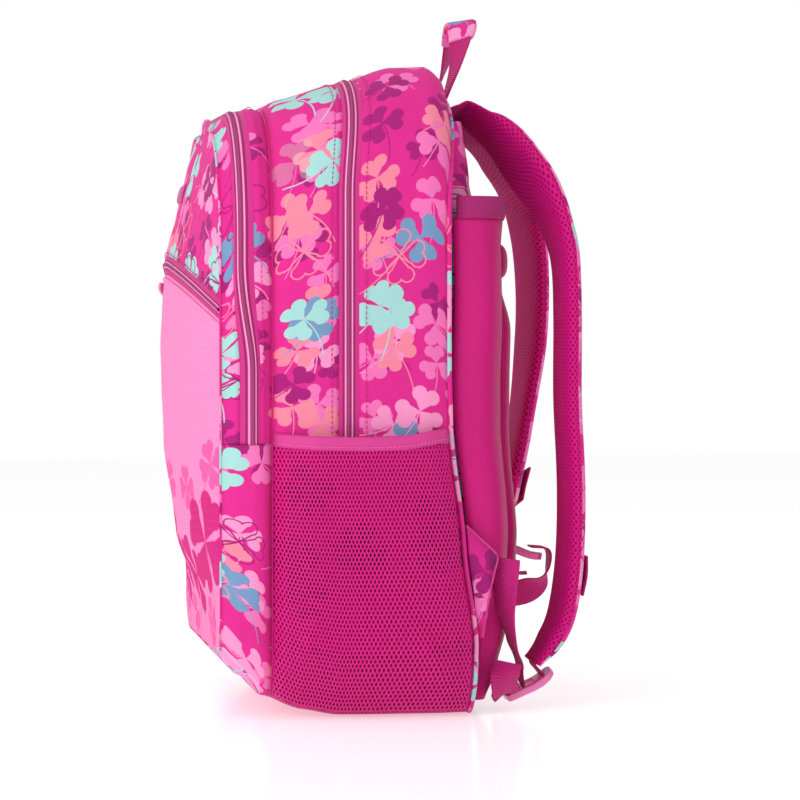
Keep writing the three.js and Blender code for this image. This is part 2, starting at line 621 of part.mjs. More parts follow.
function sliders() {
  const above = 1.4; // the coil's height over the tape
  const archSlider = (name, y, direction) => {
    const s = SLIDERS_MEET - (direction * SLIDER_SPACING) / 2;
    const at = shell(s, y, above);
    const ahead = shell(s - direction, y, above);
    const [, , nx, nz] = outline(s);
    zipPair(name, at, at.map((value, i) => ahead[i] - value), [nx, 0, nz]);
  };
  for (const [prefix, y] of [['main', MAIN_ZIP_Y], ['front', FRONT_ZIP_Y]]) {
    archSlider(`${prefix}_zip_left`, y, 1);
    archSlider(`${prefix}_zip_right`, y, -1);
  }
  const at = pocketPoint(POCKET_SLIDER_AT, 3);
  const ahead = pocketPoint(POCKET_SLIDER_AT + 0.02, 3);
  const along = at.map((value, i) => ahead[i] - value);
  zipPair('pocket_zip', at, along, [at[0] / 300, -1, 0.2]);
}

// ---- build --------------------------------------------------------------------------------
mainBody();
archZip('main', MAIN_ZIP_Y);
frontCompartment();
archZip('front', FRONT_ZIP_Y);
back();
for (const [side, tag] of SIDES) {
  sidePocket(side, tag);
  shoulderStrap(side, tag);
  anchorWing(side, tag);
  ladderLock(tag);
  adjuster(side, tag);
  lockLoop(tag);
  webbingTail(tag);
  keeper(tag);
}
haulLoop();
sliders();

export default group;
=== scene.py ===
"""Looks of the school backpack: fabric, webbing, zips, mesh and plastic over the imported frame."""

import math

import bmesh
import bpy
from mathutils import Matrix, Vector


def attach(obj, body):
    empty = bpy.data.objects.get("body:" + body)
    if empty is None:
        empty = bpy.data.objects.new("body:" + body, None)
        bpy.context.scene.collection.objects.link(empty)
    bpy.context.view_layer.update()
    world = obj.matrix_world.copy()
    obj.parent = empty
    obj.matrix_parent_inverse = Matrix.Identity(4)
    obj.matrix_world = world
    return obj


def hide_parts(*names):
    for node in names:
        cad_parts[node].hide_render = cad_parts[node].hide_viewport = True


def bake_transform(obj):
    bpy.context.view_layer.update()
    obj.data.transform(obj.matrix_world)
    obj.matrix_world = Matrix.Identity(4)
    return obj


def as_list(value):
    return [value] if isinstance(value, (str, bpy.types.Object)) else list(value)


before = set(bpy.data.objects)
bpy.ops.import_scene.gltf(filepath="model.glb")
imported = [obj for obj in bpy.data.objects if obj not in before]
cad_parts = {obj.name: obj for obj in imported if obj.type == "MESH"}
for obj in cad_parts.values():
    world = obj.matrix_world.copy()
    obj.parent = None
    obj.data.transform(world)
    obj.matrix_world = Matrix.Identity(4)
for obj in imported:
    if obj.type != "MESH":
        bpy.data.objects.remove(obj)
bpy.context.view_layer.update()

# ---- driving dimensions, in millimetres as in the CAD ---------------------------------------
HALF_WIDTH = 150
HEIGHT = 430
TOP_RADIUS = 85
BASE_RADIUS = 34
BACK_Y = 37
MAIN_ZIP_Y = -31
DIVIDER_Y = -80
FRONT_ZIP_Y = -97
FRONT_Y = -112
LOWER_TOP_Z = 180
CLOTH = 1.6
SEAM_GAP = 0.4
REAR_EDGE = BACK_Y - 1.4
FRONT_EDGE = FRONT_Y - 1.6
GAP = 0.3
TAPE_HALF = 8
TAPE_SHOWN = 6.7  # the cloth is folded back over the rest of each tape
STRAP_WIDTH = 64
STRAP_THICKNESS = 12
WEBBING_WIDTH = 20
BASE_SEAM_Z = 42  # where the base panel meets the side walls
COIL_PITCH = 1.7
SEAM_EASE = 1.02  # a panel is cut slightly larger than the surface that it covers
CELL = 3.0  # size of the bag cloth's mesh cells
MM = 0.001


def smooth(t):
    c = min(max(t, 0.0), 1.0)
    return c * c * (3 - 2 * c)


def lerp(a, b, t):
    return a + (b - a) * t


def profile(*knots):
    """A smooth curve through (x, y) knots."""

    def value(x):
        if x <= knots[0][0]:
            return knots[0][1]
        for (x0, y0), (x1, y1) in zip(knots, knots[1:]):
            if x <= x1:
                t = (x - x0) / (x1 - x0)
                return lerp(y0, y1, 0.5 * smooth(t) + 0.5 * t)
        return knots[-1][1]

    return value


# ---- the bag's shell: the same shape as the CAD's ---------------------------------------------
BASE_FLAT = HALF_WIDTH - BASE_RADIUS
TOP_FLAT = HALF_WIDTH - TOP_RADIUS
S_BASE_ARC = BASE_FLAT + BASE_RADIUS * math.pi / 2
S_SIDE = S_BASE_ARC + HEIGHT - BASE_RADIUS - TOP_RADIUS
S_TOP_ARC = S_SIDE + TOP_RADIUS * math.pi / 2
S_TOP = S_TOP_ARC + TOP_FLAT


def s_at(z):
    return S_BASE_ARC + z - BASE_RADIUS


S_LOWER = s_at(LOWER_TOP_Z)
ARCH = (S_LOWER, 2 * S_TOP - S_LOWER)


def outline(s):
    """Front-view outline at s: (x, z, outward x, outward z)."""
    mirrored = s > S_TOP or s < 0
    t = 2 * S_TOP - s if s > S_TOP else abs(s)
    if t < BASE_FLAT:
        x, z, nx, nz = t, 0, 0, -1
    elif t < S_BASE_ARC:
        a = (t - BASE_FLAT) / BASE_RADIUS
        nx, nz = math.sin(a), -math.cos(a)
        x, z = BASE_FLAT + BASE_RADIUS * nx, BASE_RADIUS + BASE_RADIUS * nz
    elif t < S_SIDE:
        x, z, nx, nz = HALF_WIDTH, BASE_RADIUS + t - S_BASE_ARC, 1, 0
    elif t < S_TOP_ARC:
        a = (t - S_SIDE) / TOP_RADIUS
        nx, nz = math.cos(a), math.sin(a)
        x, z = TOP_FLAT + TOP_RADIUS * nx, HEIGHT - TOP_RADIUS + TOP_RADIUS * nz
    else:
        x, z, nx, nz = TOP_FLAT - (t - S_TOP_ARC), HEIGHT, 0, 1
    return (-x, z, -nx, nz) if mirrored else (x, z, nx, nz)


top_lift = profile(
    (-112, -42), (-100, -31), (-86, -27), (-80, -29), (-72, -23), (-31, -9),
    (0, 0), (24, 1), (32, -4), (37, -22),
)
base_lift = profile((-112, 40), (-104, 28), (-87, 14), (-60, 4), (-35, 0))
side_shift = profile(
    (-112, -16), (-104, -9), (-96, -6), (-86, -6), (-80, -9), (-72, -3),
    (-50, 1), (-20, 3), (20, 1), (37, -3),
)
lower_back = profile((0, 17), (50, 18), (110, 10), (190, 1), (240, 0))


def warp(x, y, z):
    """The bag's slump and lean: moves a point of the plain arch-shaped box."""
    up = smooth((z - 170) / 160)
    down = 1 - smooth(z / 170)
    rear = smooth((y - MAIN_ZIP_Y) / (BACK_Y - MAIN_ZIP_Y))
    lean = 6.5 * smooth((z - 350) / 75) * smooth((y - DIVIDER_Y) / 45)
    zip_shift = 4 * (1 - 2 * smooth((z - 240) / 90)) * smooth(1 - abs(y - FRONT_ZIP_Y) / 14)
    reach = math.copysign(smooth(abs(x) / 60), x)
    return Vector((
        x + reach * side_shift(y),
        y + rear * lower_back(z) + lean + zip_shift,
        z + up * top_lift(y) + down * base_lift(y),
    ))


def shell(s, y, stand):
    """A point of the bag's side at outline parameter s and depth y, standing off the cloth."""
    x, z, nx, nz = outline(s)
    return warp(x + nx * stand, y, z + nz * stand)


def row_parameter(z):
    """Where the right-hand outline reaches the plain height z."""
    if z <= 0:
        return BASE_FLAT
    if z < BASE_RADIUS:
        return BASE_FLAT + BASE_RADIUS * math.acos(1 - z / BASE_RADIUS)
    if z <= HEIGHT - TOP_RADIUS:
        return s_at(z)
    return S_SIDE + TOP_RADIUS * math.asin(min((z - HEIGHT + TOP_RADIUS) / TOP_RADIUS, 1))


def plain_row(target, y):
    """The plain height that warp() lifts to target."""
    low, high = 0.0, float(HEIGHT)
    for _ in range(30):
        middle = (low + high) / 2
        if warp(HALF_WIDTH, y, middle).z < target:
            low = middle
        else:
            high = middle
    return low


front_bulge = profile(
    (40, 0), (54, 0.5), (71, 3.5), (85, 7), (113, 17), (176, 25.5),
    (239, 28), (302, 24.5), (344, 14), (365, 8), (388, 0),
)
POCKET_HALF = 133.5
POCKET_RISE = 31
POCKET_END_Z = 268
POCKET_DEPTH = 26
POCKET_SAG = math.hypot(POCKET_RISE, POCKET_DEPTH)
POCKET_RADIUS = (POCKET_HALF**2 + POCKET_SAG**2) / (2 * POCKET_SAG)
POCKET_ROW = plain_row(POCKET_END_Z, FRONT_Y)
row_bow = profile((60, 0), (POCKET_END_Z, 1), (388, 0))


def crown(u):
    """Height of the pocket's arc across the front, 1 in the middle and 0 at the sides."""
    w = min(abs(u), 1) * POCKET_HALF
    return (math.sqrt(POCKET_RADIUS**2 - w**2) - (POCKET_RADIUS - POCKET_SAG)) / POCKET_SAG


def front_point(u, z_plain, stand):
    """A point of the front: u is -1..1 across, stand is how far outside the front edge."""
    x, z, _, _ = outline(row_parameter(z_plain))
    p = warp((x - 0.5) * u, FRONT_Y, z)
    lift = POCKET_RISE * crown(u) * row_bow(p.z)
    depth = crown(u) * front_bulge(p.z + lift)
    return Vector((p.x, p.y - stand - depth, p.z + lift))


# ---- mesh helpers -------------------------------------------------------------------------
def from_mesh(name, mesh, material, body="bag", replaces=()):
    """A piece that rides on a body. With no body it is not attached to any."""
    piece = bpy.data.objects.new(name, mesh)
    bpy.context.collection.objects.link(piece)
    for entry in material if isinstance(material, list) else [material]:
        mesh.materials.append(entry)
    for polygon in mesh.polygons:
        polygon.use_smooth = True
    if body:
        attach(piece, body)
    if replaces:
        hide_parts(*replaces)
    return piece


def from_bmesh(bm, name, cloth=None):
    """Ends a bmesh as a mesh. cloth(point) gives a vertex's place on the flat cloth, both in metres."""
    if cloth:
        layer = bm.loops.layers.uv.new("cloth")
        for face in bm.faces:
            for loop in face.loops:
                loop[layer].uv = cloth(loop.vert.co)
    mesh = bpy.data.meshes.new(name)
    bm.to_mesh(mesh)
    bm.free()
    if not cloth:
        mesh.uv_layers.new(name="cloth")
    return mesh


def lay_cloth(mesh, places):
    """Gives each face corner its place on the flat cloth, in millimetres."""
    layer = mesh.uv_layers.new(name="cloth")
    for loop, (along, across) in zip(layer.data, places):
        loop.uv = (along * MM, across * MM)


def grid(rows, columns, point, coordinate):
    """Mesh of rows x columns cells. point(a, b) and the cloth's coordinate(a, b), both in millimetres,
    take shares of the way along and across."""
    mesh = bpy.data.meshes.new("grid")
    width = columns + 1
    vertices = [point(i / rows, j / columns) * MM for i in range(rows + 1) for j in range(width)]
    faces = []
    places = []
    for i in range(rows):
        for j in range(columns):
            k = i * width + j
            faces.append((k, k + 1, k + width + 1, k + width))
            corners = ((i, j), (i, j + 1), (i + 1, j + 1), (i + 1, j))
            places.extend(coordinate(a / rows, b / columns) for a, b in corners)
    mesh.from_pydata(vertices, [], faces)
    lay_cloth(mesh, places)
    return mesh


def thicken(piece, thickness, offset=-1.0):
    """Gives a sheet its thickness, inwards at offset -1 and both ways at 0."""
    solid = piece.modifiers.new("thickness", "SOLIDIFY")
    solid.thickness = thickness * MM
    solid.offset = offset
    solid.use_even_offset = False
    return piece


def round_edges(piece, width, segments, angle_limit):
    bevel = piece.modifiers.new("rounded", "BEVEL")
    bevel.width = width * MM
    bevel.segments = segments
    bevel.angle_limit = angle_limit


def flip_outward(piece):
    """Turns the faces of an open sheet away from the middle of the bag."""
    mesh = piece.data
    middle = Vector((0, -20, 215)) * MM
    if sum((p.center - middle).dot(p.normal) * p.area for p in mesh.polygons) < 0:
        mesh.flip_normals()


def cloth_piece(name, mesh, material, node, thickness=0, offset=-1.0):
    """A sheet of the bag in place of one CAD node; with no thickness it stays an open sheet."""
    piece = from_mesh(name, mesh, material, "bag", [node])
    flip_outward(piece)
    if thickness:
        thicken(piece, thickness, offset)
    return piece


def ripple(s, y):
    """Gentle unevenness of stretched cloth, -1 to 1."""
    a = math.sin(s * 0.045 + 1.3) * math.sin(y * 0.09 + 0.7)
    b = math.sin(s * 0.11 + y * 0.05) * 0.5
    c = math.sin(y * 0.21 - s * 0.03 + 2.0) * 0.4
    return (a + b + c) / 1.9


def edge_eased(b):
    """-1 to 1 as b goes from 0 to 1, with cells closer together near both ends."""
    return math.sin((2 * b - 1) * math.pi / 2)


def band(name, node, s_range, y_range, material, puff=0.0, wrinkle=0.25, trims=None):
    """A strip of the bag's side, from s to s and depth to depth, with a slight puff between its seams.
    trims is not used."""
    s0, s1 = s_range
    y0, y1 = y_range
    rows = max(4, round((s1 - s0) / CELL))
    columns = max(4, round((y1 - y0) / CELL))

    def point(a, b):
        s, y = lerp(s0, s1, a), lerp(y0, y1, b)
        swell = puff * (1 - (2 * b - 1) ** 4)
        fold = wrinkle * ripple(s, y) * (1 - (2 * b - 1) ** 6)
        return shell(s, y, 0.2 + swell + fold)

    mesh = grid(rows, columns, point, lambda a, b: (lerp(s0, s1, a), lerp(y0, y1, b)))
    piece = cloth_piece(name, mesh, material, node, CLOTH)
    if trims is not None:
        length = (s1 - s0) * MM
        area = sum(face.area for face in mesh.polygons) * SEAM_EASE
        area / length
        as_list(trims)
    return piece


# ---- node materials -------------------------------------------------------------------------
class Field:
    """A number that varies over the surface, built from Math nodes in the current material's tree."""

    tree = None

    def __init__(self, socket):
        self.socket = socket

    @staticmethod
    def node(operation, *inputs):
        math_node = new_node("Math")
        math_node.operation = operation
        for value, socket in zip(inputs, math_node.inputs):
            link(value, socket)
        return Field(math_node.outputs[0])

    def __add__(self, other):
        return Field.node("ADD", self, other)

    __radd__ = __add__

    def __sub__(self, other):
        return Field.node("SUBTRACT", self, other)

    def __rsub__(self, other):
        return Field.node("SUBTRACT", other, self)

    def __mul__(self, other):
        return Field.node("MULTIPLY", self, other)

    __rmul__ = __mul__

    def __truediv__(self, other):
        return Field.node("DIVIDE", self, other)

    def fn(self, operation, *others):
        """Any other Math node, by its operation."""
        return Field.node(operation, self, *others)

    def centred(self):
        """Place within its unit cell, -0.5 to 0.5."""
        return self.fn("FRACT") - 0.5

    def below(self, edge, soft):
        """1 where the value is under edge, fading over soft."""
        share = (edge - self) * (1.0 / soft) + 0.5
        share.socket.node.use_clamp = True
        return share


def new_material(name):
    """A material and its shader. The helpers below add their nodes to the material made last."""
    material = bpy.data.materials.new(name)
    material.use_nodes = True
    Field.tree = material.node_tree
    return material, Field.tree.nodes["Principled BSDF"]


def new_node(kind):
    return Field.tree.nodes.new("ShaderNode" + kind)


def link(value, socket):
    """Gives a socket its value: a Field, another socket, or a plain number or colour."""
    if isinstance(value, Field):
        value = value.socket
    if isinstance(value, bpy.types.NodeSocket):
        Field.tree.links.new(value, socket)
    else:
        socket.default_value = value


def set_inputs(node, values):
    for name, value in values.items():
        link(value, node.inputs[name])


def hypotenuse(x, y):
    return (x * x + y * y).fn("SQRT")


def srgb(r, g, b):
    """A colour as seen on a screen, 0 to 255 each."""

    def linear(c):
        c /= 255
        return c / 12.92 if c <= 0.04045 else ((c + 0.055) / 1.055) ** 2.4

    return (linear(r), linear(g), linear(b), 1.0)


def cloth_uv():
    """The cloth's own coordinates in millimetres: (along, across)."""
    uv = new_node("UVMap")
    uv.uv_map = "cloth"
    split = new_node("SeparateXYZ")
    link(uv.outputs[0], split.inputs[0])
    return Field(split.outputs[0]) * 1000.0, Field(split.outputs[1]) * 1000.0


def mix(factor, a, b):
    """Colour a where factor is 0, b where it is 1."""
    node = new_node("Mix")
    node.data_type = "RGBA"
    # The node has sockets for each type of data; 6 and 7 are its colours, and output 2 their mix.
    link(factor, node.inputs[0])
    link(a, node.inputs[6])
    link(b, node.inputs[7])
    return node.outputs[2]


def noise(scale, detail):
    """Smooth noise in the object's own space; scale is bumps a metre."""
    place = new_node("TexCoord").outputs["Object"]
    node = new_node("TexNoise")
    set_inputs(node, {"Vector": place, "Scale": scale, "Detail": detail})
    return Field(node.outputs["Fac"])


def bump(shader, height, distance):
    node = new_node("Bump")
    set_inputs(node, {"Height": height, "Distance": distance})
    link(node.outputs[0], shader.inputs["Normal"])


def weave(along, across, pitch):
    """Plain weave, 0 to 1: threads of the given pitch in millimetres crossing each other."""
    a = (along * (math.pi / pitch)).fn("SINE")
    b = (across * (math.pi / pitch)).fn("SINE")
    return (a * b).fn("ABSOLUTE")


def cloth_finish(shader, height, roughness, sheen=0.04, depth=0.0002, specular=0.22):
    set_inputs(shader, {
        "Roughness": roughness, "Specular IOR Level": specular,
        "Sheen Weight": sheen, "Sheen Roughness": 0.4,
    })
    bump(shader, height, depth)


def dye(shader, colour, spread=0.12):
    """Colours the shader, with slight unevenness of dye and wear."""
    patches = noise(28, 3)
    fine = noise(900, 1)
    value = new_node("HueSaturation")
    amount = (patches - 0.5) * spread + (fine - 0.5) * (spread * 0.5) + 1.0
    set_inputs(value, {"Value": amount, "Color": colour})
    link(value.outputs[0], shader.inputs["Base Color"])


# ---- the clover print -------------------------------------------------------------------------
GROUND = srgb(216, 42, 138)
MINT = srgb(160, 210, 206)
BLUE = srgb(114, 148, 186)
CORAL = srgb(238, 132, 156)
ROSE = srgb(236, 114, 180)
PALE_ROSE = srgb(240, 146, 194)
PLUM = srgb(164, 30, 116)
LINE_BLUE = srgb(170, 190, 228)
# BEHIND and DEEP are the print's ground and clovers under painted shade, for the side cloth behind the
# pockets' net.
BEHIND = srgb(214, 8, 116)
DEEP = srgb(128, 8, 76)


def clover_cells(along, across, cell, seed, jitter):
    """Scattered places, one a cell: local x and y in millimetres, and three chance numbers, 0 to 1."""
    combine = new_node("CombineXYZ")
    link(along / cell + seed * 3.7, combine.inputs[0])
    link(across / cell + seed * 1.9, combine.inputs[1])
    cells = new_node("TexVoronoi")
    cells.voronoi_dimensions = "2D"
    set_inputs(cells, {"Vector": combine.outputs[0], "Scale": 1.0, "Randomness": jitter})
    local = new_node("VectorMath")
    local.operation = "SUBTRACT"
    link(combine.outputs[0], local.inputs[0])
    link(cells.outputs["Position"], local.inputs[1])
    split = new_node("SeparateXYZ")
    link(local.outputs[0], split.inputs[0])
    chance = new_node("SeparateColor")
    link(cells.outputs["Color"], chance.inputs[0])
    chances = (Field(output) for output in chance.outputs)
    return Field(split.outputs[0]) * cell, Field(split.outputs[1]) * cell, *chances


def clover(x, y, turn, size, leaves):
    """Signed distance, as a share of size, to a clover of heart-shaped leaves; and to its stem.
    At turn 0 the stem points towards -x."""
    sector = 2 * math.pi / leaves
    radius = hypotenuse(x, y) / size
    stem_shift = sector / 2 if leaves == 3 else 0.0
    angle = Field.node("ARCTAN2", y, x) + turn - stem_shift
    folded = (angle / sector + 40.0).centred() * sector
    a = radius * folded.fn("COSINE")
    b = (radius * folded.fn("SINE")).fn("ABSOLUTE")
    # A leaf is two round lobes and a wedge that runs from them to the middle.
    lobe_out, lobe_side, lobe = (0.66, 0.27, 0.30) if leaves == 3 else (0.68, 0.215, 0.262)
    round_part = hypotenuse(a - lobe_out, b - lobe_side) - lobe
    slope = 0.86 if leaves == 3 else 0.70
    wedge = (b - a * slope).fn("MULTIPLY", 0.8).fn("MAXIMUM", a - (lobe_out + 0.02))
    leaf = round_part.fn("MINIMUM", wedge)
    # The stem leaves between two leaves and bends.
    stem_angle = ((angle + stem_shift) / (2 * math.pi) + 40.0).centred() * (2 * math.pi)
    along = radius * stem_angle.fn("COSINE")
    aside = radius * stem_angle.fn("SINE") - along * along * 0.16
    stem = aside.fn("ABSOLUTE").fn("MAXIMUM", 0.0 - along).fn("MAXIMUM", (along - 1.9) * 0.5)
    return leaf, stem


def pick_colour(pick, colours):
    """One of the colours, by a number from 0 to 1."""
    ramp = new_node("ValToRGB")
    ramp.color_ramp.interpolation = "CONSTANT"
    link(pick, ramp.inputs[0])
    steps = ramp.color_ramp.elements
    while len(steps) < len(colours):
        steps.new(0.5)
    for index, tone in enumerate(colours):
        steps[index].position = index / len(colours)
        steps[index].color = tone
    return ramp.outputs[0]


TURN_SPREAD = 2.4  # radians; the clovers stand more or less upright
LINE_HALF = 0.5
STALK_HALF = 0.42
PRINT_EDGE = 0.35
PRINT_LAYERS = [
    # cell size, clover size, leaves, colours, share of cells that have one, filled or outlined
    (36, 12.0, 3, [PLUM, ROSE, PLUM], 0.55, "fill"),
    (45, 15.0, 3, [ROSE, PALE_ROSE, ROSE], 0.62, "fill"),
    (50, 15.0, 3, [CORAL, ROSE, PALE_ROSE], 0.55, "fill"),
    (52, 15.0, 3, [PLUM, CORAL, PALE_ROSE], 0.45, "fill"),
    (56, 17.5, 4, [MINT, BLUE, MINT], 0.5, "fill"),
    (60, 16.5, 3, [MINT, PALE_ROSE, BLUE], 0.42, "fill"),
    (64, 18.5, 4, [CORAL, LINE_BLUE, PLUM], 0.5, "line"),
]


def clover_print(along, across, ground, layers):
    """Layers of scattered clovers over the ground colour."""
    colour = ground
    for seed, layer in enumerate(layers):
        cell, size, leaves, colours, share, kind = layer
        x, y, turn, pick, chance = clover_cells(along, across, cell, seed + 1.37, 0.55)
        leaf, stem = clover(x, y, (turn - 0.5) * TURN_SPREAD, size, leaves)
        shown = chance.below(share, 0.001)
        soft = PRINT_EDGE / size
        if kind == "line":
            mask = leaf.fn("ABSOLUTE").below(LINE_HALF / size, soft)
        else:
            mask = leaf.below(0.0, soft)
        stalk = stem.below(STALK_HALF / size, soft)
        mask = mask.fn("MAXIMUM", stalk) * shown
        colour = mix(mask, colour, pick_colour(pick, colours))
    return colour


def print_material():
    material, shader = new_material("printed_cloth")
    along, across = cloth_uv()
    dye(shader, clover_print(along, across, GROUND, PRINT_LAYERS))
    height = weave(along, across, 0.5) * 0.4 + noise(60, 3) * 4.0
    cloth_finish(shader, height, roughness=0.7, specular=0.12)
    return material


MESH_GLOW = 0.05  # stands for the light that comes through the net from all sides


def behind_mesh_material():
    """The print where the mesh pocket shades it: only its darker clovers read."""
    material, shader = new_material("printed_cloth_shaded")
    along, across = cloth_uv()
    tones = [DEEP, BEHIND, DEEP]
    layers = [(47, 18.0, 4, tones, 0.6, "fill"), (40, 14.0, 3, tones[:2], 0.5, "fill")]
    dye(shader, clover_print(along, across, BEHIND, layers))
    set_inputs(shader, {"Emission Color": BEHIND, "Emission Strength": MESH_GLOW})
    cloth_finish(shader, weave(along, across, 0.5), roughness=0.6)
    return material


CLOVER_STRETCH = 1.25  # the pocket's clovers are wider than tall
# Clovers growing from the pocket's lower edge: x, z, size in millimetres, turn in radians.
LARGE_CLOVERS = [
    (102, 114, 36, 0.3), (40, 88, 28, -0.5), (-20, 104, 30, 0.6),
    (-76, 84, 27, -0.2), (-116, 124, 26, 0.5),
]
SMALL_CLOVERS = [
    (120, 166, 17, -0.4), (64, 148, 16, 0.8), (10, 152, 15, 0.2), (-56, 142, 16, -0.7),
    (-100, 66, 15, 0.4), (88, 60, 18, 1.0), (-30, 58, 16, 0.3),
]


def dots_pattern(along, across, pitch, radius):
    """1 inside small dots on a square grid."""
    x = (along / pitch).centred() * pitch
    y = (across / pitch).centred() * pitch
    return hypotenuse(x, y).below(radius, 0.3)


def pocket_material():
    """Light pink cloth with tiny dots, and darker clovers growing from its lower edge."""
    material, shader = new_material("pocket_cloth")
    along, across = cloth_uv()
    colour = srgb(250, 138, 192)
    for tone, places in ((srgb(240, 92, 166), SMALL_CLOVERS), (srgb(208, 30, 126), LARGE_CLOVERS)):
        for place_x, place_z, size, turn in places:
            leaf, stem = clover(across - place_z, (along - place_x) / CLOVER_STRETCH, turn, size, 4)
            flower = leaf.below(0.0, 0.03).fn("MAXIMUM", stem.below(0.6 / size, 0.03))
            colour = mix(flower, colour, tone)
    dots = dots_pattern(along, across, 6.0, 0.5)
    colour = mix(dots * 0.7, colour, srgb(224, 84, 156))
    dye(shader, colour, 0.08)
    height = weave(along, across, 0.55) * 0.5 + dots * -0.4 + noise(40, 3) * 5.0
    cloth_finish(shader, height, roughness=0.8, specular=0.08)
    return material


def plain_cloth(name, colour, pitch=0.5, roughness=0.5, spread=0.1, folds=4.0, sheen=0.04):
    material, shader = new_material(name)
    along, across = cloth_uv()
    dye(shader, colour, spread)
    height = weave(along, across, pitch) * 0.5 + noise(45, 3) * folds
    cloth_finish(shader, height, roughness=roughness, sheen=sheen)
    return material


def lining_material():
    """Plain cloth for the frame parts that stay visible. They carry no cloth coordinates, so it is woven
    in the object's own space."""
    material, shader = new_material("lining")
    place = new_node("TexCoord")
    split = new_node("SeparateXYZ")
    link(place.outputs["Object"], split.inputs[0])
    x, y, z = (Field(split.outputs[i]) * 1000.0 for i in range(3))
    dye(shader, srgb(180, 60, 128))
    cloth_finish(shader, weave(x + y, z, 0.6) + noise(80, 2) * 2.0, roughness=0.6)
    return material


def ribbed(name, colour, pitch=1.5, depth=0.0003):
    """Webbing: ribs across the strip, with painted shade in the grooves."""
    material, shader = new_material(name)
    along, across = cloth_uv()
    rib = ((along * (2 * math.pi / pitch)).fn("SINE") * 0.5 + 0.5).fn("POWER", 0.7)
    twill = ((along * 2.0 + across * 5.0).fn("SINE")) * 0.12
    # Painted shade: the grooves are coloured darker as well as sunk.
    dark = tuple(c * 0.72 for c in colour[:3]) + (1.0,)
    dye(shader, mix(rib, dark, colour), 0.14)
    cloth_finish(shader, rib + twill, roughness=0.65, sheen=0.05, depth=depth, specular=0.25)
    return material


DIMPLE_PITCH = 4.7


def air_mesh(name, colour, hole_shade, depth):
    """Padded spacer mesh: rows of round dimples, staggered, with painted shade in their holes."""
    material, shader = new_material(name)
    along, across = cloth_uv()
    pitch = DIMPLE_PITCH
    row = along / (pitch * 0.5)
    shift = (row.fn("FLOOR") * 0.5).fn("FRACT")
    # Distance to the nearest dimple: this row's, or the next row's, which lies half a pitch along.
    from_row = row.centred() * (pitch * 0.5)
    own = hypotenuse((across / pitch + shift).centred() * pitch, from_row)
    next_row = pitch * 0.5 - from_row.fn("ABSOLUTE")
    distance = own.fn("MINIMUM", hypotenuse((across / pitch + shift + 0.5).centred() * pitch, next_row))
    # The holes are painted shade: a darker colour where one looks down into the mesh.
    hole = distance.below(0.95, 0.7)
    dimple = distance.below(1.5, 1.6)
    dye(shader, mix(hole, colour, hole_shade), 0.1)
    knit = weave(along, across, 0.8) * 0.02
    cloth_finish(shader, knit - dimple, roughness=0.75, sheen=0.0, depth=depth, specular=0.15)
    return material


def tape_material():
    """Zip tape: a pale stripe beside the coil, a groove darkened with painted shade, and a twill ground.
    across is measured from the coil.
    """
    material, shader = new_material("zip_tape")
    along, across = cloth_uv()
    off = across.fn("ABSOLUTE")
    stripe = (off - 2.2).fn("ABSOLUTE").below(0.5, 0.25)
    groove = (off - 3.6).fn("ABSOLUTE").below(0.5, 0.5)
    # Painted shade: the groove is coloured darker as well as sunk.
    colour = mix(groove, srgb(206, 50, 134), srgb(150, 28, 96))
    colour = mix(stripe, colour, srgb(248, 158, 208))
    dye(shader, colour, 0.1)
    twill = ((along + across) * (2 * math.pi / 0.9)).fn("SINE") * 0.25
    cloth_finish(shader, stripe * 0.8 + twill - groove, roughness=0.6, depth=0.0003)
    return material


def coil_material():
    material, shader = new_material("zip_coil")
    dye(shader, srgb(150, 38, 100), 0.15)
    set_inputs(shader, {"Roughness": 0.35})
    bump(shader, noise(1500, 2), 0.0001)
    return material


def plastic(name, colour, roughness):
    material, shader = new_material(name)
    dye(shader, colour, 0.05)
    set_inputs(shader, {
        "Roughness": noise(220, 3) * 0.14 + (roughness - 0.07), "Coat Weight": 0.15,
        "Subsurface Weight": 0.08, "Subsurface Radius": (0.004, 0.002, 0.002),
    })
    bump(shader, noise(700, 2), 0.00005)
    return material


PRINTED = print_material()
BEHIND_MESH = behind_mesh_material()
POCKET = pocket_material()
MAGENTA = plain_cloth("magenta_cloth", srgb(208, 18, 124), 0.6, roughness=0.45)
BASE = plain_cloth("base_cloth", srgb(196, 24, 116), 0.8, roughness=0.6)
HEM = ribbed("hem_tape", srgb(176, 34, 114), 1.2, 0.0002)
BINDING = plain_cloth("elastic_binding", srgb(208, 60, 140), 0.6, roughness=0.45, folds=0.5)
PIPING = plain_cloth("pink_piping", srgb(240, 110, 180), 0.5)
LINING = lining_material()
MESH = plain_cloth("pocket_mesh", srgb(208, 20, 126), 0.7, roughness=0.5, folds=0.5, sheen=0.0)
# The second colour of each air mesh is the painted shade in its holes.
AIR = air_mesh("air_mesh", srgb(208, 18, 122), srgb(120, 4, 66), 0.0006)
# The same air mesh for the straps' inner faces, with lighter ground and holes: painted light against the
# shade those faces are in.
AIR_INNER_LIT = air_mesh("air_mesh_inner_lit", srgb(208, 16, 132), srgb(138, 4, 84), 0.0004)
WEBBING = ribbed("webbing", srgb(196, 26, 120))
TAPE = tape_material()
COIL = coil_material()
METAL = plastic("slider_lacquer", srgb(168, 50, 112), 0.3)
PULL = plastic("pull_rubber", srgb(238, 120, 184), 0.45)
BUCKLE = plastic("buckle_plastic", srgb(236, 122, 184), 0.3)
# The same plastic as BUCKLE, made darker: painted shade for the ladder lock on the far side.
BUCKLE_SHADED = plastic("buckle_plastic_shaded", srgb(206, 72, 146), 0.3)
THREAD = plain_cloth("thread", srgb(206, 40, 128), 0.3, folds=0.2)
LABEL = plain_cloth("blank_label", srgb(196, 86, 150), 0.4)


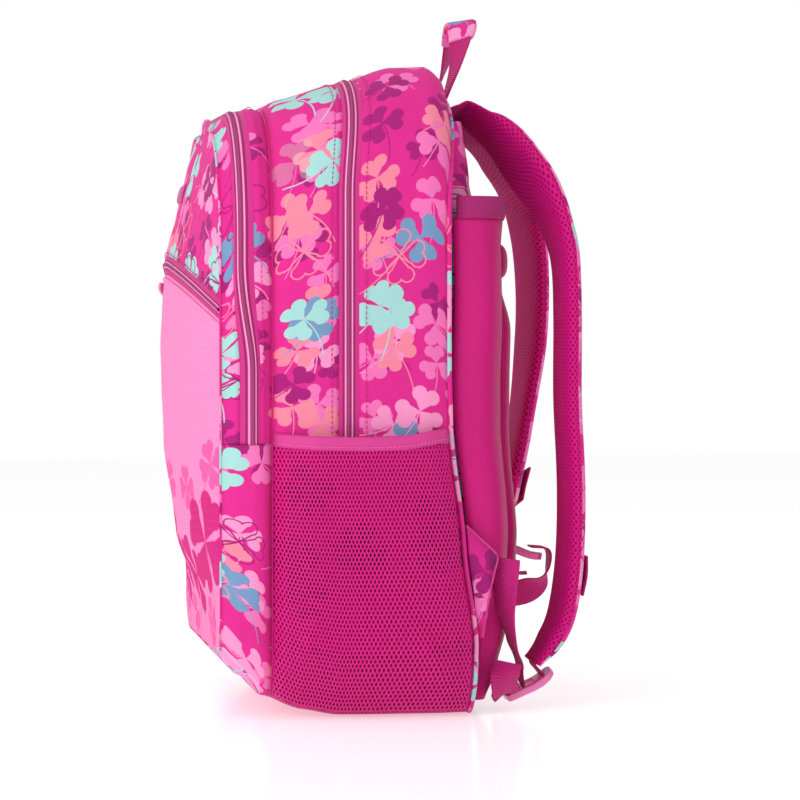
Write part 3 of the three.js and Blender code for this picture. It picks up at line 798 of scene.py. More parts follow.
# ---- stitches -------------------------------------------------------------------------------
def add_stitch(bm, a, b, normal, radius):
    """One plump thread from a to b, thin at both ends."""
    along = (b - a).normalized()
    side = along.cross(normal).normalized()
    out = side.cross(along)
    rings = []
    for t, share, lift in ((0, 0.45, 0.0), (0.2, 1.0, 0.5), (0.8, 1.0, 0.5), (1, 0.45, 0.0)):
        centre = a.lerp(b, t) + out * (radius * lift)
        ring = []
        for k in range(5):
            angle = 2 * math.pi * k / 5
            offset = side * math.cos(angle) + out * math.sin(angle)
            ring.append(bm.verts.new((centre + offset * (radius * share)) * MM))
        rings.append(ring)
    for first, second in zip(rings, rings[1:]):
        for k in range(5):
            bm.faces.new((first[k - 1], first[k], second[k], second[k - 1]))
    bm.faces.new(rings[0][::-1])
    bm.faces.new(rings[-1])


def stitches(name, path, spacing=3.4, length=2.3, radius=0.32, material=THREAD):
    """A row of thread stitches along a list of (point, outward normal)."""
    bm = bmesh.new()
    points = [p for p, _ in path]
    lengths = [0.0]
    for a, b in zip(points, points[1:]):
        lengths.append(lengths[-1] + (b - a).length)
    position = 0.0
    index = 0
    while position + length < lengths[-1]:
        ends = []
        for target in (position, position + length):
            while index < len(lengths) - 2 and lengths[index + 1] < target:
                index += 1
            t = (target - lengths[index]) / max(lengths[index + 1] - lengths[index], 1e-6)
            ends.append((points[index].lerp(points[index + 1], t), path[index][1]))
        index = max(index - 2, 0)
        (a, normal), (b, _) = ends
        add_stitch(bm, a, b, normal, radius)
        position += spacing
    return from_mesh(name, from_bmesh(bm, name, lambda point: (point.x, point.z)), material)


def arch_path(y):
    """A line for stitches over the arch at depth y."""
    count = round((ARCH[1] - ARCH[0]) / 4)
    path = []
    for i in range(count + 1):
        s = lerp(*ARCH, i / count)
        _, _, nx, nz = outline(s)
        path.append((shell(s, y, 1.2), Vector((nx, 0, nz))))
    return path


# ---- tubes and strips along a path ------------------------------------------------------------
def spline(points, count):
    """Even points along a smooth curve through the given ones, and the curve's length."""
    points = [Vector(p) for p in points]
    padded = [points[0] * 2 - points[1], *points, points[-1] * 2 - points[-2]]
    fine = []
    for i in range(len(points) - 1):
        p0, p1, p2, p3 = padded[i : i + 4]
        for k in range(16):
            t = k / 16
            fine.append(0.5 * (
                2 * p1 + (p2 - p0) * t + (2 * p0 - 5 * p1 + 4 * p2 - p3) * t * t
                + (3 * p1 - p0 - 3 * p2 + p3) * t * t * t
            ))
    fine.append(points[-1])
    lengths = [0.0]
    for a, b in zip(fine, fine[1:]):
        lengths.append(lengths[-1] + (b - a).length)
    result = []
    k = 0
    for i in range(count + 1):
        target = lengths[-1] * i / count
        while k < len(lengths) - 2 and lengths[k + 1] < target:
            k += 1
        t = (target - lengths[k]) / max(lengths[k + 1] - lengths[k], 1e-9)
        result.append(fine[k].lerp(fine[k + 1], t))
    return result, lengths[-1]


def sweep(name, points, section, across, count, material, body, replaces=(), face_material=None):
    """Closed solid: section(t) gives the (width, normal) outline at t, swept along the points.
    face_material(share) picks a material by the share of the way round the outline."""
    path, total = spline(points, count)
    rings = []
    for i, centre in enumerate(path):
        t = i / count
        along = (path[min(i + 1, count)] - path[max(i - 1, 0)]).normalized()
        wide = Vector(across(t))
        wide = (wide - along * wide.dot(along)).normalized()
        normal = along.cross(wide)
        rings.append([centre + wide * a + normal * b for a, b in section(t)])
    sides = len(rings[0])
    vertices = [p * MM for ring in rings for p in ring]
    faces, places, tags = [], [], []
    for i in range(count):
        girth = 0.0
        for j in range(sides):
            k = (j + 1) % sides
            step = (rings[i][k] - rings[i][j]).length
            faces.append((i * sides + j, i * sides + k, (i + 1) * sides + k, (i + 1) * sides + j))
            v0, v1 = i / count * total, (i + 1) / count * total
            places.extend([(v0, girth), (v0, girth + step), (v1, girth + step), (v1, girth)])
            girth += step
            tags.append(j)
    for ring, order in ((0, -1), (count, 1)):
        middle = len(vertices)
        vertices.append(sum(rings[ring], Vector()) / sides * MM)
        for j in range(sides):
            k = (j + 1) % sides
            pair = (ring * sides + j, ring * sides + k)
            faces.append((middle, *(pair if order > 0 else pair[::-1])))
            places.extend([(0, 0), (1, 0), (1, 1)])
            tags.append(0)
    mesh = bpy.data.meshes.new(name)
    mesh.from_pydata(vertices, [], faces)
    lay_cloth(mesh, places)
    piece = from_mesh(name, mesh, material, body, replaces)
    if face_material:
        for polygon, tag in zip(mesh.polygons, tags):
            polygon.material_index = face_material(tag / sides)
    return piece


def flat_section(width, thickness):
    """Outline of a flat strip with rounded edges."""
    sides = 10
    half = thickness / 2
    inner = width / 2 - half
    points = [(lerp(-inner, inner, i / sides), -half) for i in range(sides + 1)]
    points += [(width / 2 - half * 0.2, -half * 0.5), (width / 2 - half * 0.2, half * 0.5)]
    points += [(lerp(inner, -inner, i / sides), half) for i in range(sides + 1)]
    points += [(-width / 2 + half * 0.2, half * 0.5), (-width / 2 + half * 0.2, -half * 0.5)]
    return points


def cord_round(radius):
    sides = 8
    angles = [2 * math.pi * k / sides for k in range(sides)]
    return [(radius * math.cos(angle), radius * math.sin(angle)) for angle in angles]


def wide_x(_):
    return (1, 0, 0)


def wide_y(_):
    return (0, 1, 0)


# ---- the bag's walls --------------------------------------------------------------------------
def bag_walls():
    rear = (MAIN_ZIP_Y + TAPE_SHOWN, REAR_EDGE)
    front = (DIVIDER_Y + SEAM_GAP, MAIN_ZIP_Y - TAPE_SHOWN)
    main = (DIVIDER_Y + SEAM_GAP, REAR_EDGE)
    low = s_at(BASE_SEAM_Z)
    main_zip = arch_zip("main", MAIN_ZIP_Y)
    front_zip = arch_zip("front", FRONT_ZIP_Y)
    band("gusset_rear_cloth", "gusset_rear", ARCH, rear, PRINTED, puff=0.8, trims=main_zip[:1])
    band("gusset_front_cloth", "gusset_front", ARCH, front, PRINTED, puff=1.2, trims=main_zip[1:])
    for tag, wall in (("left", (low, S_LOWER)), ("right", (-S_LOWER, -low))):
        band(f"side_cloth_{tag}", f"side_wall_{tag}", wall, main, BEHIND_MESH, wrinkle=0.5, trims=[])
    band("base_cloth", "base_panel", (GAP - low, low - GAP), main, BASE, wrinkle=0.15, trims=[])
    front_gusset(front_zip)


def front_gusset(zip_pieces):
    """The front compartment's side: a strip each side of its zip, and one panel below."""
    rear = (FRONT_ZIP_Y + TAPE_SHOWN, DIVIDER_Y - SEAM_GAP)
    front = (FRONT_EDGE, FRONT_ZIP_Y - TAPE_SHOWN)
    whole = (FRONT_EDGE, DIVIDER_Y - SEAM_GAP)
    narrow = [
        band("front_gusset_rear_cloth", "front_gusset_rear", ARCH, rear, PRINTED, wrinkle=0.15),
        band("front_gusset_front_cloth", "front_gusset_front", ARCH, front, PRINTED, wrinkle=0.15),
    ]
    band("front_gusset_lower_cloth", "front_gusset_lower", (-S_LOWER, S_LOWER), whole, PRINTED,
         puff=1.0, trims=narrow + zip_pieces)


# ---- zips -------------------------------------------------------------------------------------
# For every zip, place(a, v, lift) is a point a of the way along it, v to one side of its coil and
# lift above the cloth, and span is where it starts and ends along the cloth.
COIL_HALF = 1.45


def zip_tape(name, side, place, span, rows):
    """A striped tape: it starts beside the coil and dips under the folded cloth."""

    def offset(b):
        return side * lerp(1.2, TAPE_HALF + 0.2, b)

    def point(a, b):
        stripe = 0.35 * math.exp(-((abs(offset(b)) - 2.2) / 0.5) ** 2)
        return place(a, offset(b), 0.6 - 0.9 * b + stripe)

    mesh = grid(rows, 10, point, lambda a, b: (lerp(*span, a), offset(b)))
    return cloth_piece(f"{name}_cloth", mesh, TAPE, name, 0.9)


def zip_coil(prefix, place, span, rows):
    """Half-round ridge of teeth between the tapes."""

    def point(a, b):
        angle = math.pi * (b - 0.5)
        tooth = 0.5 + 0.5 * math.cos(2 * math.pi * lerp(*span, a) / COIL_PITCH)
        return place(a, COIL_HALF * math.sin(angle), 0.1 + (0.8 + 0.75 * tooth) * math.cos(angle))

    mesh = grid(rows, 6, point, lambda a, b: (lerp(*span, a), b * 3))
    return cloth_piece(f"{prefix}_zip_teeth", mesh, COIL, f"{prefix}_zip_coil")


def arch_zip(prefix, y):
    """Rear tape, front tape and coil of a zip over the arch."""

    def place(a, v, lift):
        return shell(lerp(*ARCH, a), y + v, lift)

    coil_rows = round((ARCH[1] - ARCH[0]) / COIL_PITCH * 4)
    return [
        zip_tape(f"{prefix}_zip_tape_rear", 1, place, ARCH, 220),
        zip_tape(f"{prefix}_zip_tape_front", -1, place, ARCH, 220),
        zip_coil(prefix, place, ARCH, coil_rows),
    ]


def pocket_zip():
    """Upper tape, lower tape and coil of the curved zip across the front."""

    def place(a, v, lift):
        return front_point(2 * a - 1, POCKET_ROW + v, FRONT_STAND + lift)

    span = (0, 2 * POCKET_HALF)
    return [
        zip_tape("pocket_zip_tape_upper", 1, place, span, 120),
        zip_tape("pocket_zip_tape_lower", -1, place, span, 120),
        zip_coil("pocket", place, span, 640),
    ]


# ---- the front ----------------------------------------------------------------------------
FRONT_STAND = 2
ROUNDED_SHARE = 0.92  # the front's panels have rounded corners, so they are less than their rectangle


def front_face(name, node, z_range, material):
    """One panel of the front, between two plain heights."""
    z0, z1 = z_range

    def point(a, b):
        u = 2 * b - 1
        z = lerp(z0, z1, a)
        fold = 0.5 * ripple(z * 1.3, u * 130) * (1 - u**6)
        return front_point(u, z, FRONT_STAND + fold)

    def coordinate(a, b):
        p = point(a, b)
        return p.x, p.z

    mesh = grid(round((z1 - z0) / CELL), 88, point, coordinate)
    piece = cloth_piece(name, mesh, material, node, 1.4)
    width, length = 2 * POCKET_HALF * MM, (z1 - z0) * MM
    ROUNDED_SHARE * width * length


def front_faces():
    zip_pieces = pocket_zip()
    label = front_label()
    upper = (POCKET_ROW + TAPE_HALF + 0.4, HEIGHT - 0.5)
    lower = (0.5, POCKET_ROW - TAPE_HALF - 0.4)
    front_face("front_upper_cloth", "front_panel_upper", upper, PRINTED)
    front_face("front_pocket_cloth", "front_pocket", lower, POCKET)


def front_label():
    """Small blank label sewn flat on the upper front panel."""
    middle_row, height, width = 376, 18, 37

    def point(a, b):
        edge = min(a, 1 - a, b, 1 - b)
        stand = 2.6 + 1.4 * smooth(edge / 0.12)
        return front_point(lerp(-0.2, 0.08, b), middle_row + height * (a - 0.5), stand)

    mesh = grid(12, 16, point, lambda a, b: (a * height, b * width))
    piece = from_mesh("front_tab", mesh, LABEL, "bag")
    return thicken(piece, 0.6)


# ---- side pockets -------------------------------------------------------------------------
def stand_off(y, z):
    """How far the net stands off the bag's side."""
    across = (y - DIVIDER_Y) / (BACK_Y - DIVIDER_Y)
    side = 1 - abs(2 * across - 1) ** 4
    return 0.8 + 10 * side * smooth((z - 12) / 40)


def net_point(side, y, z):
    """A point of the net, with small creases, and gathers near the floor."""
    crease = 0.9 * math.sin(0.11 * y + 0.05 * z) * math.sin(0.035 * z) * smooth((z - 20) / 50)
    low = smooth((82 - z) / 60)
    crease += 1.6 * math.exp(-((y + 62 - 0.35 * (z - 40)) / 5) ** 2) * low
    crease += 2.2 * math.exp(-((y - 12 + 0.5 * (z - 40)) / 6) ** 2) * low
    crease -= 1.8 * math.exp(-((y - 24 + 0.4 * (z - 40)) / 6) ** 2) * low
    room = smooth((stand_off(y, z) - 2) / 5)
    return shell(side * row_parameter(z), y, stand_off(y, z) + 0.6 + crease * room)


POCKET_Y = (-79.0, 32.5)
POCKET_Z = (4, 179.5)
NET_CELL = (2.3, 2.9)  # width of a cell and the height between staggered rows
NET_OPEN = (0.52, 0.74)  # how much of a cell is hole, across and up


def pocket_net(side, tag):
    """Mesh fabric with real six-sided holes."""
    bm = bmesh.new()
    pitch, rise = NET_CELL
    cell = [(0, rise * 2 / 3), (pitch / 2, rise / 3), (pitch / 2, -rise / 3)]
    cell += [(-a, -b) for a, b in cell]
    made = {}

    def vertex(y, z):
        key = (round(y, 2), round(z, 2))
        if key not in made:
            inside_y = min(max(y, POCKET_Y[0]), POCKET_Y[1])
            inside_z = min(max(z, POCKET_Z[0]), POCKET_Z[1])
            made[key] = bm.verts.new(net_point(side, inside_y, inside_z) * MM)
        return made[key]

    rows = round((POCKET_Z[1] - POCKET_Z[0]) / rise)
    columns = round((POCKET_Y[1] - POCKET_Y[0]) / pitch)
    for i in range(rows + 1):
        for j in range(columns + 1):
            y = POCKET_Y[0] + (j + 0.5 * (i % 2)) * pitch
            z = POCKET_Z[0] + i * rise
            ring = [vertex(y + a, z + b) for a, b in cell]
            hole = [vertex(y + a * NET_OPEN[0], z + b * NET_OPEN[1]) for a, b in cell]
            for k in range(6):
                quad = (ring[k], ring[(k + 1) % 6], hole[(k + 1) % 6], hole[k])
                if len(set(quad)) == 4:
                    bm.faces.new(quad)
    bm.normal_update()
    name = f"side_pocket_net_{tag}"
    mesh = from_bmesh(bm, name, lambda point: (point.z, point.y))
    cloth_piece(name, mesh, MESH, f"side_pocket_mesh_{tag}", 0.7, 0.0)


def pocket_hem(side, tag):
    """Elastic edge of the side pocket, and its row of stitches."""
    bottom_z, height, length = 178.5, 9.5, 111

    def point(a, b):
        y = lerp(-79.4, 33.4, b)
        sag = 2.4 * (1 - ((y + 22) / 55) ** 2)
        z = bottom_z + height * a - sag + 2.5 * smooth(y / 30)
        roll = 0.9 * math.sin(math.pi * a)
        return shell(side * row_parameter(z), y, stand_off(y, min(z, 185)) + 1.2 + roll)

    mesh = grid(6, 40, point, lambda a, b: (b * length, a * height))
    node = f"side_pocket_binding_{tag}"
    cloth_piece(f"side_pocket_hem_{tag}", mesh, BINDING, node, 2.0)
    out = Vector((side, 0, 0))
    path = [(point(0.25, k / 40) + out * 0.2, out) for k in range(41)]
    stitches(f"side_pocket_stitch_{tag}", path, spacing=2.6, length=1.5, radius=0.28, material=PIPING)


# ---- piping and stitching -----------------------------------------------------------------
def rim(name, y, stand, radius, material):
    """A cord sewn round the whole bag at depth y, resting on the floor below."""
    points = [shell(lerp(-S_TOP, S_TOP, k / 160), y, stand) for k in range(161)]
    for point in points:
        point.z = max(point.z, radius)
    sweep(name, points, lambda _: cord_round(radius), wide_y, 320, material, "bag")


def piping_and_stitches():
    rim("rear_piping", BACK_Y - 1.0, 0.6, 1.6, PRINTED)
    rim("divider_piping", DIVIDER_Y, -0.2, 0.9, MAGENTA)
    rim("front_piping", FRONT_Y - 1.4, 0.1, 0.8, PRINTED)
    stitches("main_rear_stitch", arch_path(MAIN_ZIP_Y + TAPE_HALF + 3.2))
    stitches("main_front_stitch", arch_path(MAIN_ZIP_Y - TAPE_HALF - 3.2))
    stitches("front_rear_stitch", arch_path(FRONT_ZIP_Y + TAPE_HALF + 2.2))
    out = Vector((0, -1, 0))
    for name, v in (("pocket_stitch_upper", TAPE_HALF + 3), ("pocket_stitch_lower", -TAPE_HALF - 3)):
        stitches(name, [(front_point(2 * k / 80 - 1, POCKET_ROW + v, 2.5), out) for k in range(81)])


# ---- back ---------------------------------------------------------------------------------
SLEEVE_TOP_Z = 328
pad_depth = profile((6, 8), (60, 20), (120, 30), (250, 33), (325, 33), (352, 22), (392, 14), (402, 8))
sleeve_depth = profile((6, 12), (24, 20), (70, 32), (120, 38), (250, 43), (310, 42), (340, 45))


def rounded(u, power):
    """A crowned section: 1 in the middle and 0 at both edges. A higher power makes it squarer."""
    return max(1 - abs(u) ** power, 0) ** (1 / power)


# Depth of the back seam at every step of height.
SEAM_STEP = 4
SEAM = [warp(HALF_WIDTH, BACK_Y, plain_row(z, BACK_Y)).y for z in range(0, HEIGHT + 2, SEAM_STEP)]


def seam_y(z):
    t = min(max(z / SEAM_STEP, 0), len(SEAM) - 1.001)
    return lerp(SEAM[int(t)], SEAM[int(t) + 1], t - int(t))


def sleeve_half(z):
    """Half the sleeve's width at height z."""
    return lerp(118, 138, smooth(z / 150))


def sleeve_face(x, z):
    """Depth of the sleeve's outer face."""
    return seam_y(z) + 3.2 + sleeve_depth(z) * rounded(x / sleeve_half(z), 3.4)


def back_padding():
    """Printed padding behind the sleeve, crowned between its seams."""

    def point(a, b):
        z = lerp(8, 394, a)
        half = lerp(108, 126, smooth(z / 150)) - 30 * smooth((z - 330) / 75)
        u = edge_eased(b)
        depth = pad_depth(z) * rounded(u, 3)
        return Vector((half * u, seam_y(z) + 1.2 + depth + 0.5 * ripple(z * 1.2, u * 90), z))

    def coordinate(a, b):
        p = point(a, b)
        return p.x * 1.1, p.z

    mesh = grid(110, 70, point, coordinate)
    piece = cloth_piece("back_padding_cloth", mesh, PRINTED, "back_padding", 1.2)


def trolley_sleeve():
    """The wide smooth sleeve that a trolley's handle goes through."""

    def point(a, b):
        z = lerp(8, SLEEVE_TOP_Z + 1, a)
        u = edge_eased(b)
        x = sleeve_half(z) * u
        pull = 0.8 * math.sin(z * 0.05) * abs(u) ** 2
        crease = 0.6 * math.exp(-((abs(x) - 96) / 3) ** 2)
        return Vector((x, sleeve_face(x, z) + pull + crease, z))

    mesh = grid(120, 90, point, lambda a, b: (a * 334, b * 330))
    return cloth_piece("trolley_sleeve_cloth", mesh, MAGENTA, "trolley_sleeve", 1.8)


def sleeve_hem():
    """Tape folded over the sleeve's top edge, with two rows of stitches."""

    def point(a, b):
        z = lerp(SLEEVE_TOP_Z, SLEEVE_TOP_Z + 15, a)
        u = edge_eased(b)
        x = sleeve_half(z) * u
        stand = 1.2 + 0.5 * math.sin(math.pi * a)
        return Vector((x + stand * u**5, sleeve_face(x, z) + stand, z))

    mesh = grid(6, 90, point, lambda a, b: (b * 330, a * 15))
    piece = cloth_piece("sleeve_hem_tape", mesh, HEM, "sleeve_hem", 2.4)
    out = Vector((0, 1, 0))
    for name, a in (("hem_stitch_lower", 0.12), ("hem_stitch_upper", 0.88)):
        stitches(name, [(point(a, k / 80), out) for k in range(81)])
    return piece


def back_pad(tag, x, half, z0, z1, thick):
    """Moulded foam pad with rolled edges, on the sleeve's face."""
    long = z1 - z0 > 60

    def point(a, b):
        u, v = edge_eased(b), edge_eased(a)
        z = lerp(z0, z1, (v + 1) / 2)
        px = x + half * u
        ends = smooth((z1 - z) / 30) ** 0.7 * smooth((z - z0) / 20) ** 0.5 if long else rounded(v, 2.6)
        return Vector((px, sleeve_face(px, z) + 0.9 + thick * rounded(u, 2.6) * ends, z))

    mesh = grid(80 if long else 24, 40, point, lambda a, b: (lerp(z0, z1, a), half * (2 * b - 1)))
    node = f"back_pad_{tag}"
    piece = cloth_piece(f"{node}_cloth", mesh, MAGENTA, node, 0.8)


def back():
    back_padding()
    sleeve = trolley_sleeve()
    hem = sleeve_hem()
    back_pad("top", 0, 76, 289, 312, 9.5)
    back_pad("left", 50, 34, 70, 284, 8)
    back_pad("right", -50, 34, 70, 284, 8)


# ---- straps -------------------------------------------------------------------------------
STRAPS = {
    "left": [
        (51, 46.5, 400), (51, 52, 402), (51, 60, 402), (54, 77, 390.5), (62, 89.5, 377.5), (72, 101, 361),
        (84, 111, 344), (90, 119, 322), (93, 123.5, 300), (95, 124.5, 260), (95, 124.5, 208), (95, 127, 150),
        (95, 126, 101), (94, 121, 64), (94, 112, 44), (94, 101, 31),
    ],
    "right": [
        (-51, 46.5, 400), (-51, 52, 402), (-51, 60, 402), (-55, 80, 394), (-65, 97, 383), (-78, 112, 366),
        (-96, 125, 345), (-106, 133, 318), (-114, 137, 288), (-118, 137.5, 256), (-118, 134, 218),
        (-113, 127, 178), (-106, 119, 145), (-98, 112, 112),
    ],
}
# How far each strap rolls outwards along its length, in degrees.
STRAP_ROLL = {
    "left": lambda t: 10 * (1 - smooth((t - 0.14) / 0.25)),
    "right": lambda t: lerp(2, 6, smooth(t / 0.27)) * (1 - smooth((t - 0.61) / 0.18)),
}
# Shares of the way round a strap's section. It starts at the +X edge and runs over the inner face first.
INNER_FACE = (0.06, 0.44)
OUTER_FACE = (0.54, 0.96)


def strap_across(tag):
    def across(t):
        roll = math.radians(STRAP_ROLL[tag](t))
        return (math.cos(roll), math.sin(roll), math.sin(roll))

    return across


def strap_section(t):
    """Rounded pad outline, thinner and narrower at both sewn ends."""
    narrow = lerp(0.8, 1, smooth(t / 0.2)) * lerp(1, 0.8, smooth((t - 0.88) / 0.12))
    thin = lerp(0.28, 1, smooth((t - 0.06) / 0.08)) * lerp(1, 0.5, smooth((t - 0.95) / 0.05))
    points = []
    for k in range(36):
        angle = 2 * math.pi * k / 36
        c, s = math.cos(angle), math.sin(angle)
        x = math.copysign(abs(c) ** 0.45, c) * STRAP_WIDTH * narrow / 2
        y = math.copysign(abs(s) ** 0.7, s) * STRAP_THICKNESS * thin / 2
        points.append((x, y))
    return points


def strap_face(share):
    """Which of a strap's materials its section has there."""
    if OUTER_FACE[0] < share < OUTER_FACE[1]:
        return 1
    return 2 if INNER_FACE[0] < share < INNER_FACE[1] else 0


def shoulder_strap(tag):
    """Padded strap, bending from its sewn root on the bag."""
    nodes = [f"shoulder_strap_{tag}", f"strap_root_{tag}"]
    piece = sweep(
        f"shoulder_strap_{tag}_pad", STRAPS[tag], strap_section, strap_across(tag), 220,
        [AIR, PRINTED, AIR_INNER_LIT], None, nodes, strap_face,
    )
    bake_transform(piece)


# ---- webbing and locks --------------------------------------------------------------------
# Centre of each ladder lock, and its tilt in radians.
LOCKS = {"left": ((94, 97, 13.5), 0.38), "right": ((-96, 121, 94), -0.5)}


def on_lock(tag, x, along, above):
    """A place given from the lock's centre, along its plate and above it."""
    centre, tilt = LOCKS[tag]
    c, s = math.cos(tilt), math.sin(tilt)
    return (x + centre[0], along * c - above * s + centre[1], along * s + above * c + centre[2])


def strip(name, points, across, count, body, node, width=WEBBING_WIDTH, thickness=1.4):
    """A piece of webbing in place of one CAD node."""
    section = flat_section(width, thickness)
    return sweep(name, points, lambda _: section, across, count, WEBBING, body, [node])


def adjuster_left():
    """Webbing from the left wing to its lock."""
    route = [
        (142.4, 75, 104), (139, 74.5, 85), (132, 76, 66), (116, 83, 46), (98, 90.5, 31),
        on_lock("left", 0, -2.5, 3.0),
    ]

    def across(t):
        turned = smooth(t / 0.7)
        return (0.5 + 0.5 * turned, 0.7 * (1 - turned), 0)

    piece = strip("adjuster_left", route, across, 90, None, "adjuster_webbing_left")
    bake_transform(piece)


def adjuster_right():
    """Webbing from the right wing to its lock. It turns on edge halfway."""
    route = [
        (-142.4, 75, 104), (-140, 80, 84), (-132, 92, 66), (-118, 110, 60), (-106, 128, 62), (-98, 141, 71),
        (-96, 146, 83), (-96, 145, 94), on_lock("right", 0, 9, 7.4),
    ]

    def across(t):
        end = smooth((t - 0.62) / 0.3)
        return (0.45 + 0.55 * end, 0.7 * (1 - smooth(t / 0.4)), 0.9 * smooth(t / 0.35) * (1 - end))

    piece = strip("adjuster_right", route, across, 110, None, "adjuster_webbing_right")
    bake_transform(piece)


def webbing_tails():
    """The loose ends below the locks. The left one turns on edge as it hangs."""

    def turning(t):
        turned = smooth((t - 0.2) * 2)
        return (1 - turned, 0.75 * turned, 0.55 * turned)

    left = [
        on_lock("left", 0, -9, 3.6), (97, 82, 12.5), (110, 80, 11.5), (123, 77.5, 15), (131, 75.5, 24),
        (129, 78, 34),
    ]
    right = [on_lock("right", 0, -9, -4.4), (-96, 111, 86), (-96, 116, 80), (-95, 123, 77), (-94, 130, 77)]
    strip("webbing_tail_left_strip", left, turning, 60, "lock_left", "webbing_tail_left")
    strip("webbing_tail_right_strip", right, wide_x, 40, "lock_right", "webbing_tail_right")


def lock_loop(tag, strap_end, lip):
    """Short webbing from the strap's end to the lock's lip."""
    start = Vector(strap_end)
    stop = Vector(on_lock(tag, 0, *lip))
    route = [start + Vector((0, 0, 4)), start, start.lerp(stop, 0.6), stop]
    strip(f"lock_loop_{tag}_strip", route, wide_x, 16, f"strap_{tag}", f"lock_loop_{tag}")


def strap_keeper(tag, route):
    """Band sewn across the strap's lower end."""
    strip(f"strap_keeper_{tag}_strip", route, wide_x, 16, f"strap_{tag}", f"strap_keeper_{tag}", 42, 1.6)


def webbings():
    adjuster_left()
    adjuster_right()
    webbing_tails()
    lock_loop("left", (94, 101, 29.6), (12.5, 4.4))
    lock_loop("right", (-98, 112, 110.4), (-13, 5.4))
    strap_keeper("left", [(95, 134.2, 103), (95, 134, 90), (94.6, 131.5, 77)])
    strap_keeper("right", [(-106.5, 130, 150), (-104, 126.5, 138), (-101, 123.6, 126)])


def ladder_lock(tag, material):
    """Moulded plate with two slots, rounded edges and a lifted lip."""
    bm = bmesh.new()
    # Half the plate's width, and how far its tail and its lip reach from its centre.
    half, tail, lip = 15, 16, 20
    rings = [[
        (-half, 5 - tail), (-half + 1.5, 1.5 - tail), (5 - half, -tail), (half - 5, -tail),
        (half - 1.5, 1.5 - tail), (half, 5 - tail), (half, lip - 11), (half * 0.86, lip - 5),
        (half * 0.5, lip - 1), (0, lip), (-half * 0.5, lip - 1), (-half * 0.86, lip - 5), (-half, lip - 11),
    ]]
    slot_half, slot_reach = 11.6, 3.2
    for middle in (-9, 3.5):
        low, high = middle - slot_reach, middle + slot_reach
        rings.append([(-slot_half, low), (slot_half, low), (slot_half, high), (-slot_half, high)])
    edges = []
    for ring in rings:
        corners = [bm.verts.new((x, y, 0)) for x, y in ring]
        edges += [bm.edges.new(pair) for pair in zip(corners, [*corners[1:], corners[0]])]
    bmesh.ops.triangle_fill(bm, use_beauty=True, edges=edges)
    bmesh.ops.dissolve_limit(bm, angle_limit=0.01, verts=bm.verts, edges=bm.edges)
    bmesh.ops.subdivide_edges(bm, edges=bm.edges, cuts=2, use_grid_fill=True)
    for vertex in bm.verts:
        y = vertex.co.y
        vertex.co.z = 0.016 * max(y - 2, 0) ** 2 - 0.008 * max(-y - 6, 0) ** 2
    centre, tilt = LOCKS[tag]
    place = Matrix.Translation(Vector(centre)) @ Matrix.Rotation(tilt, 4, "X")
    bm.transform(Matrix.Scale(MM, 4) @ place)
    name = f"ladder_lock_{tag}_moulding"
    mesh = from_bmesh(bm, name)
    piece = from_mesh(name, mesh, material, f"lock_{tag}", [f"ladder_lock_{tag}"])
    thicken(piece, 4.6, 0.0)
    round_edges(piece, 1.5, 3, 0.6)


# ---- haul loop, wings, sliders ------------------------------------------------------------
HAUL_HALF = [(26, 46.5, 402), (27, 53, 418), (26, 60, 440), (14, 65, 460)]
HAUL = [*HAUL_HALF, (0, 66, 466), *[(-x, y, z) for x, y, z in reversed(HAUL_HALF)]]


def haul_across(t):
    turn = math.pi * smooth((t - 0.05) / 0.9)
    return (math.cos(turn), math.sin(turn), 0.15 * math.sin(turn))


def haul_loop():
    """Webbing loop, with a padded printed sleeve over its middle."""
    strip("haul_webbing", HAUL, haul_across, 120, "haul", "haul_loop", 18, 1.8)
    path, _ = spline(HAUL, 100)
    sweep(
        "haul_sleeve_cloth", path[35:66], lambda t: flat_section(22 - 1.0 * abs(2 * t - 1) ** 6, 4.6),
        lambda t: haul_across(lerp(0.35, 0.65, t)), 60, PRINTED, "haul", ["haul_sleeve"],
    )


def anchor_wing(side, tag):
    """Printed triangle that the adjuster webbing is sewn to, with piping on its free edge."""
    corners = [(47.5, 126), (68, 106), (63, 80), (58.5, 52), (56.5, 52), (52.5, 80)]
    bm = bmesh.new()
    ring = [bm.verts.new((side * 145, y, z)) for y, z in corners]
    bm.faces.new(ring)
    bmesh.ops.triangulate(bm, faces=bm.faces)
    bmesh.ops.subdivide_edges(bm, edges=bm.edges, cuts=3, use_grid_fill=True)
    for vertex in bm.verts:
        vertex.co.x += side * 0.7 * math.sin(vertex.co.z * 0.13) * math.sin(vertex.co.y * 0.2)
    bm.transform(Matrix.Scale(MM, 4))
    node = f"anchor_wing_{tag}"
    name = f"{node}_cloth"
    mesh = from_bmesh(bm, name, lambda point: (point.z + 0.212, point.y + 0.030))
    piece = from_mesh(name, mesh, PRINTED, "bag", [node])
    thicken(piece, 1.8, 0.0)
    free = (corners[0], (58, 116.4), corners[1], (66.6, 96), corners[2], corners[3])
    edge = [(side * 145.4, y, z) for y, z in free]
    sweep(f"anchor_piping_{tag}", edge, lambda _: cord_round(0.8), wide_x, 60, BINDING, "bag")


PULL_LIFT = 6.6  # the pull's height above the coil
PIVOT = (0.6, PULL_LIFT + 0.9)  # the pin's place along the zip and its height
COIL_HEIGHT = 1.4
SLIDERS_MEET = S_TOP + TOP_FLAT + TOP_RADIUS * 0.85
SLIDER_SPACING = 16
POCKET_SLIDER_AT = -0.93


def pocket_zip_point(u):
    """Where the pocket's slider runs: the arc of its joint."""
    rise = crown(u)
    return Vector((POCKET_HALF * u, FRONT_Y - 3 - POCKET_DEPTH * rise, POCKET_END_Z + POCKET_RISE * rise))


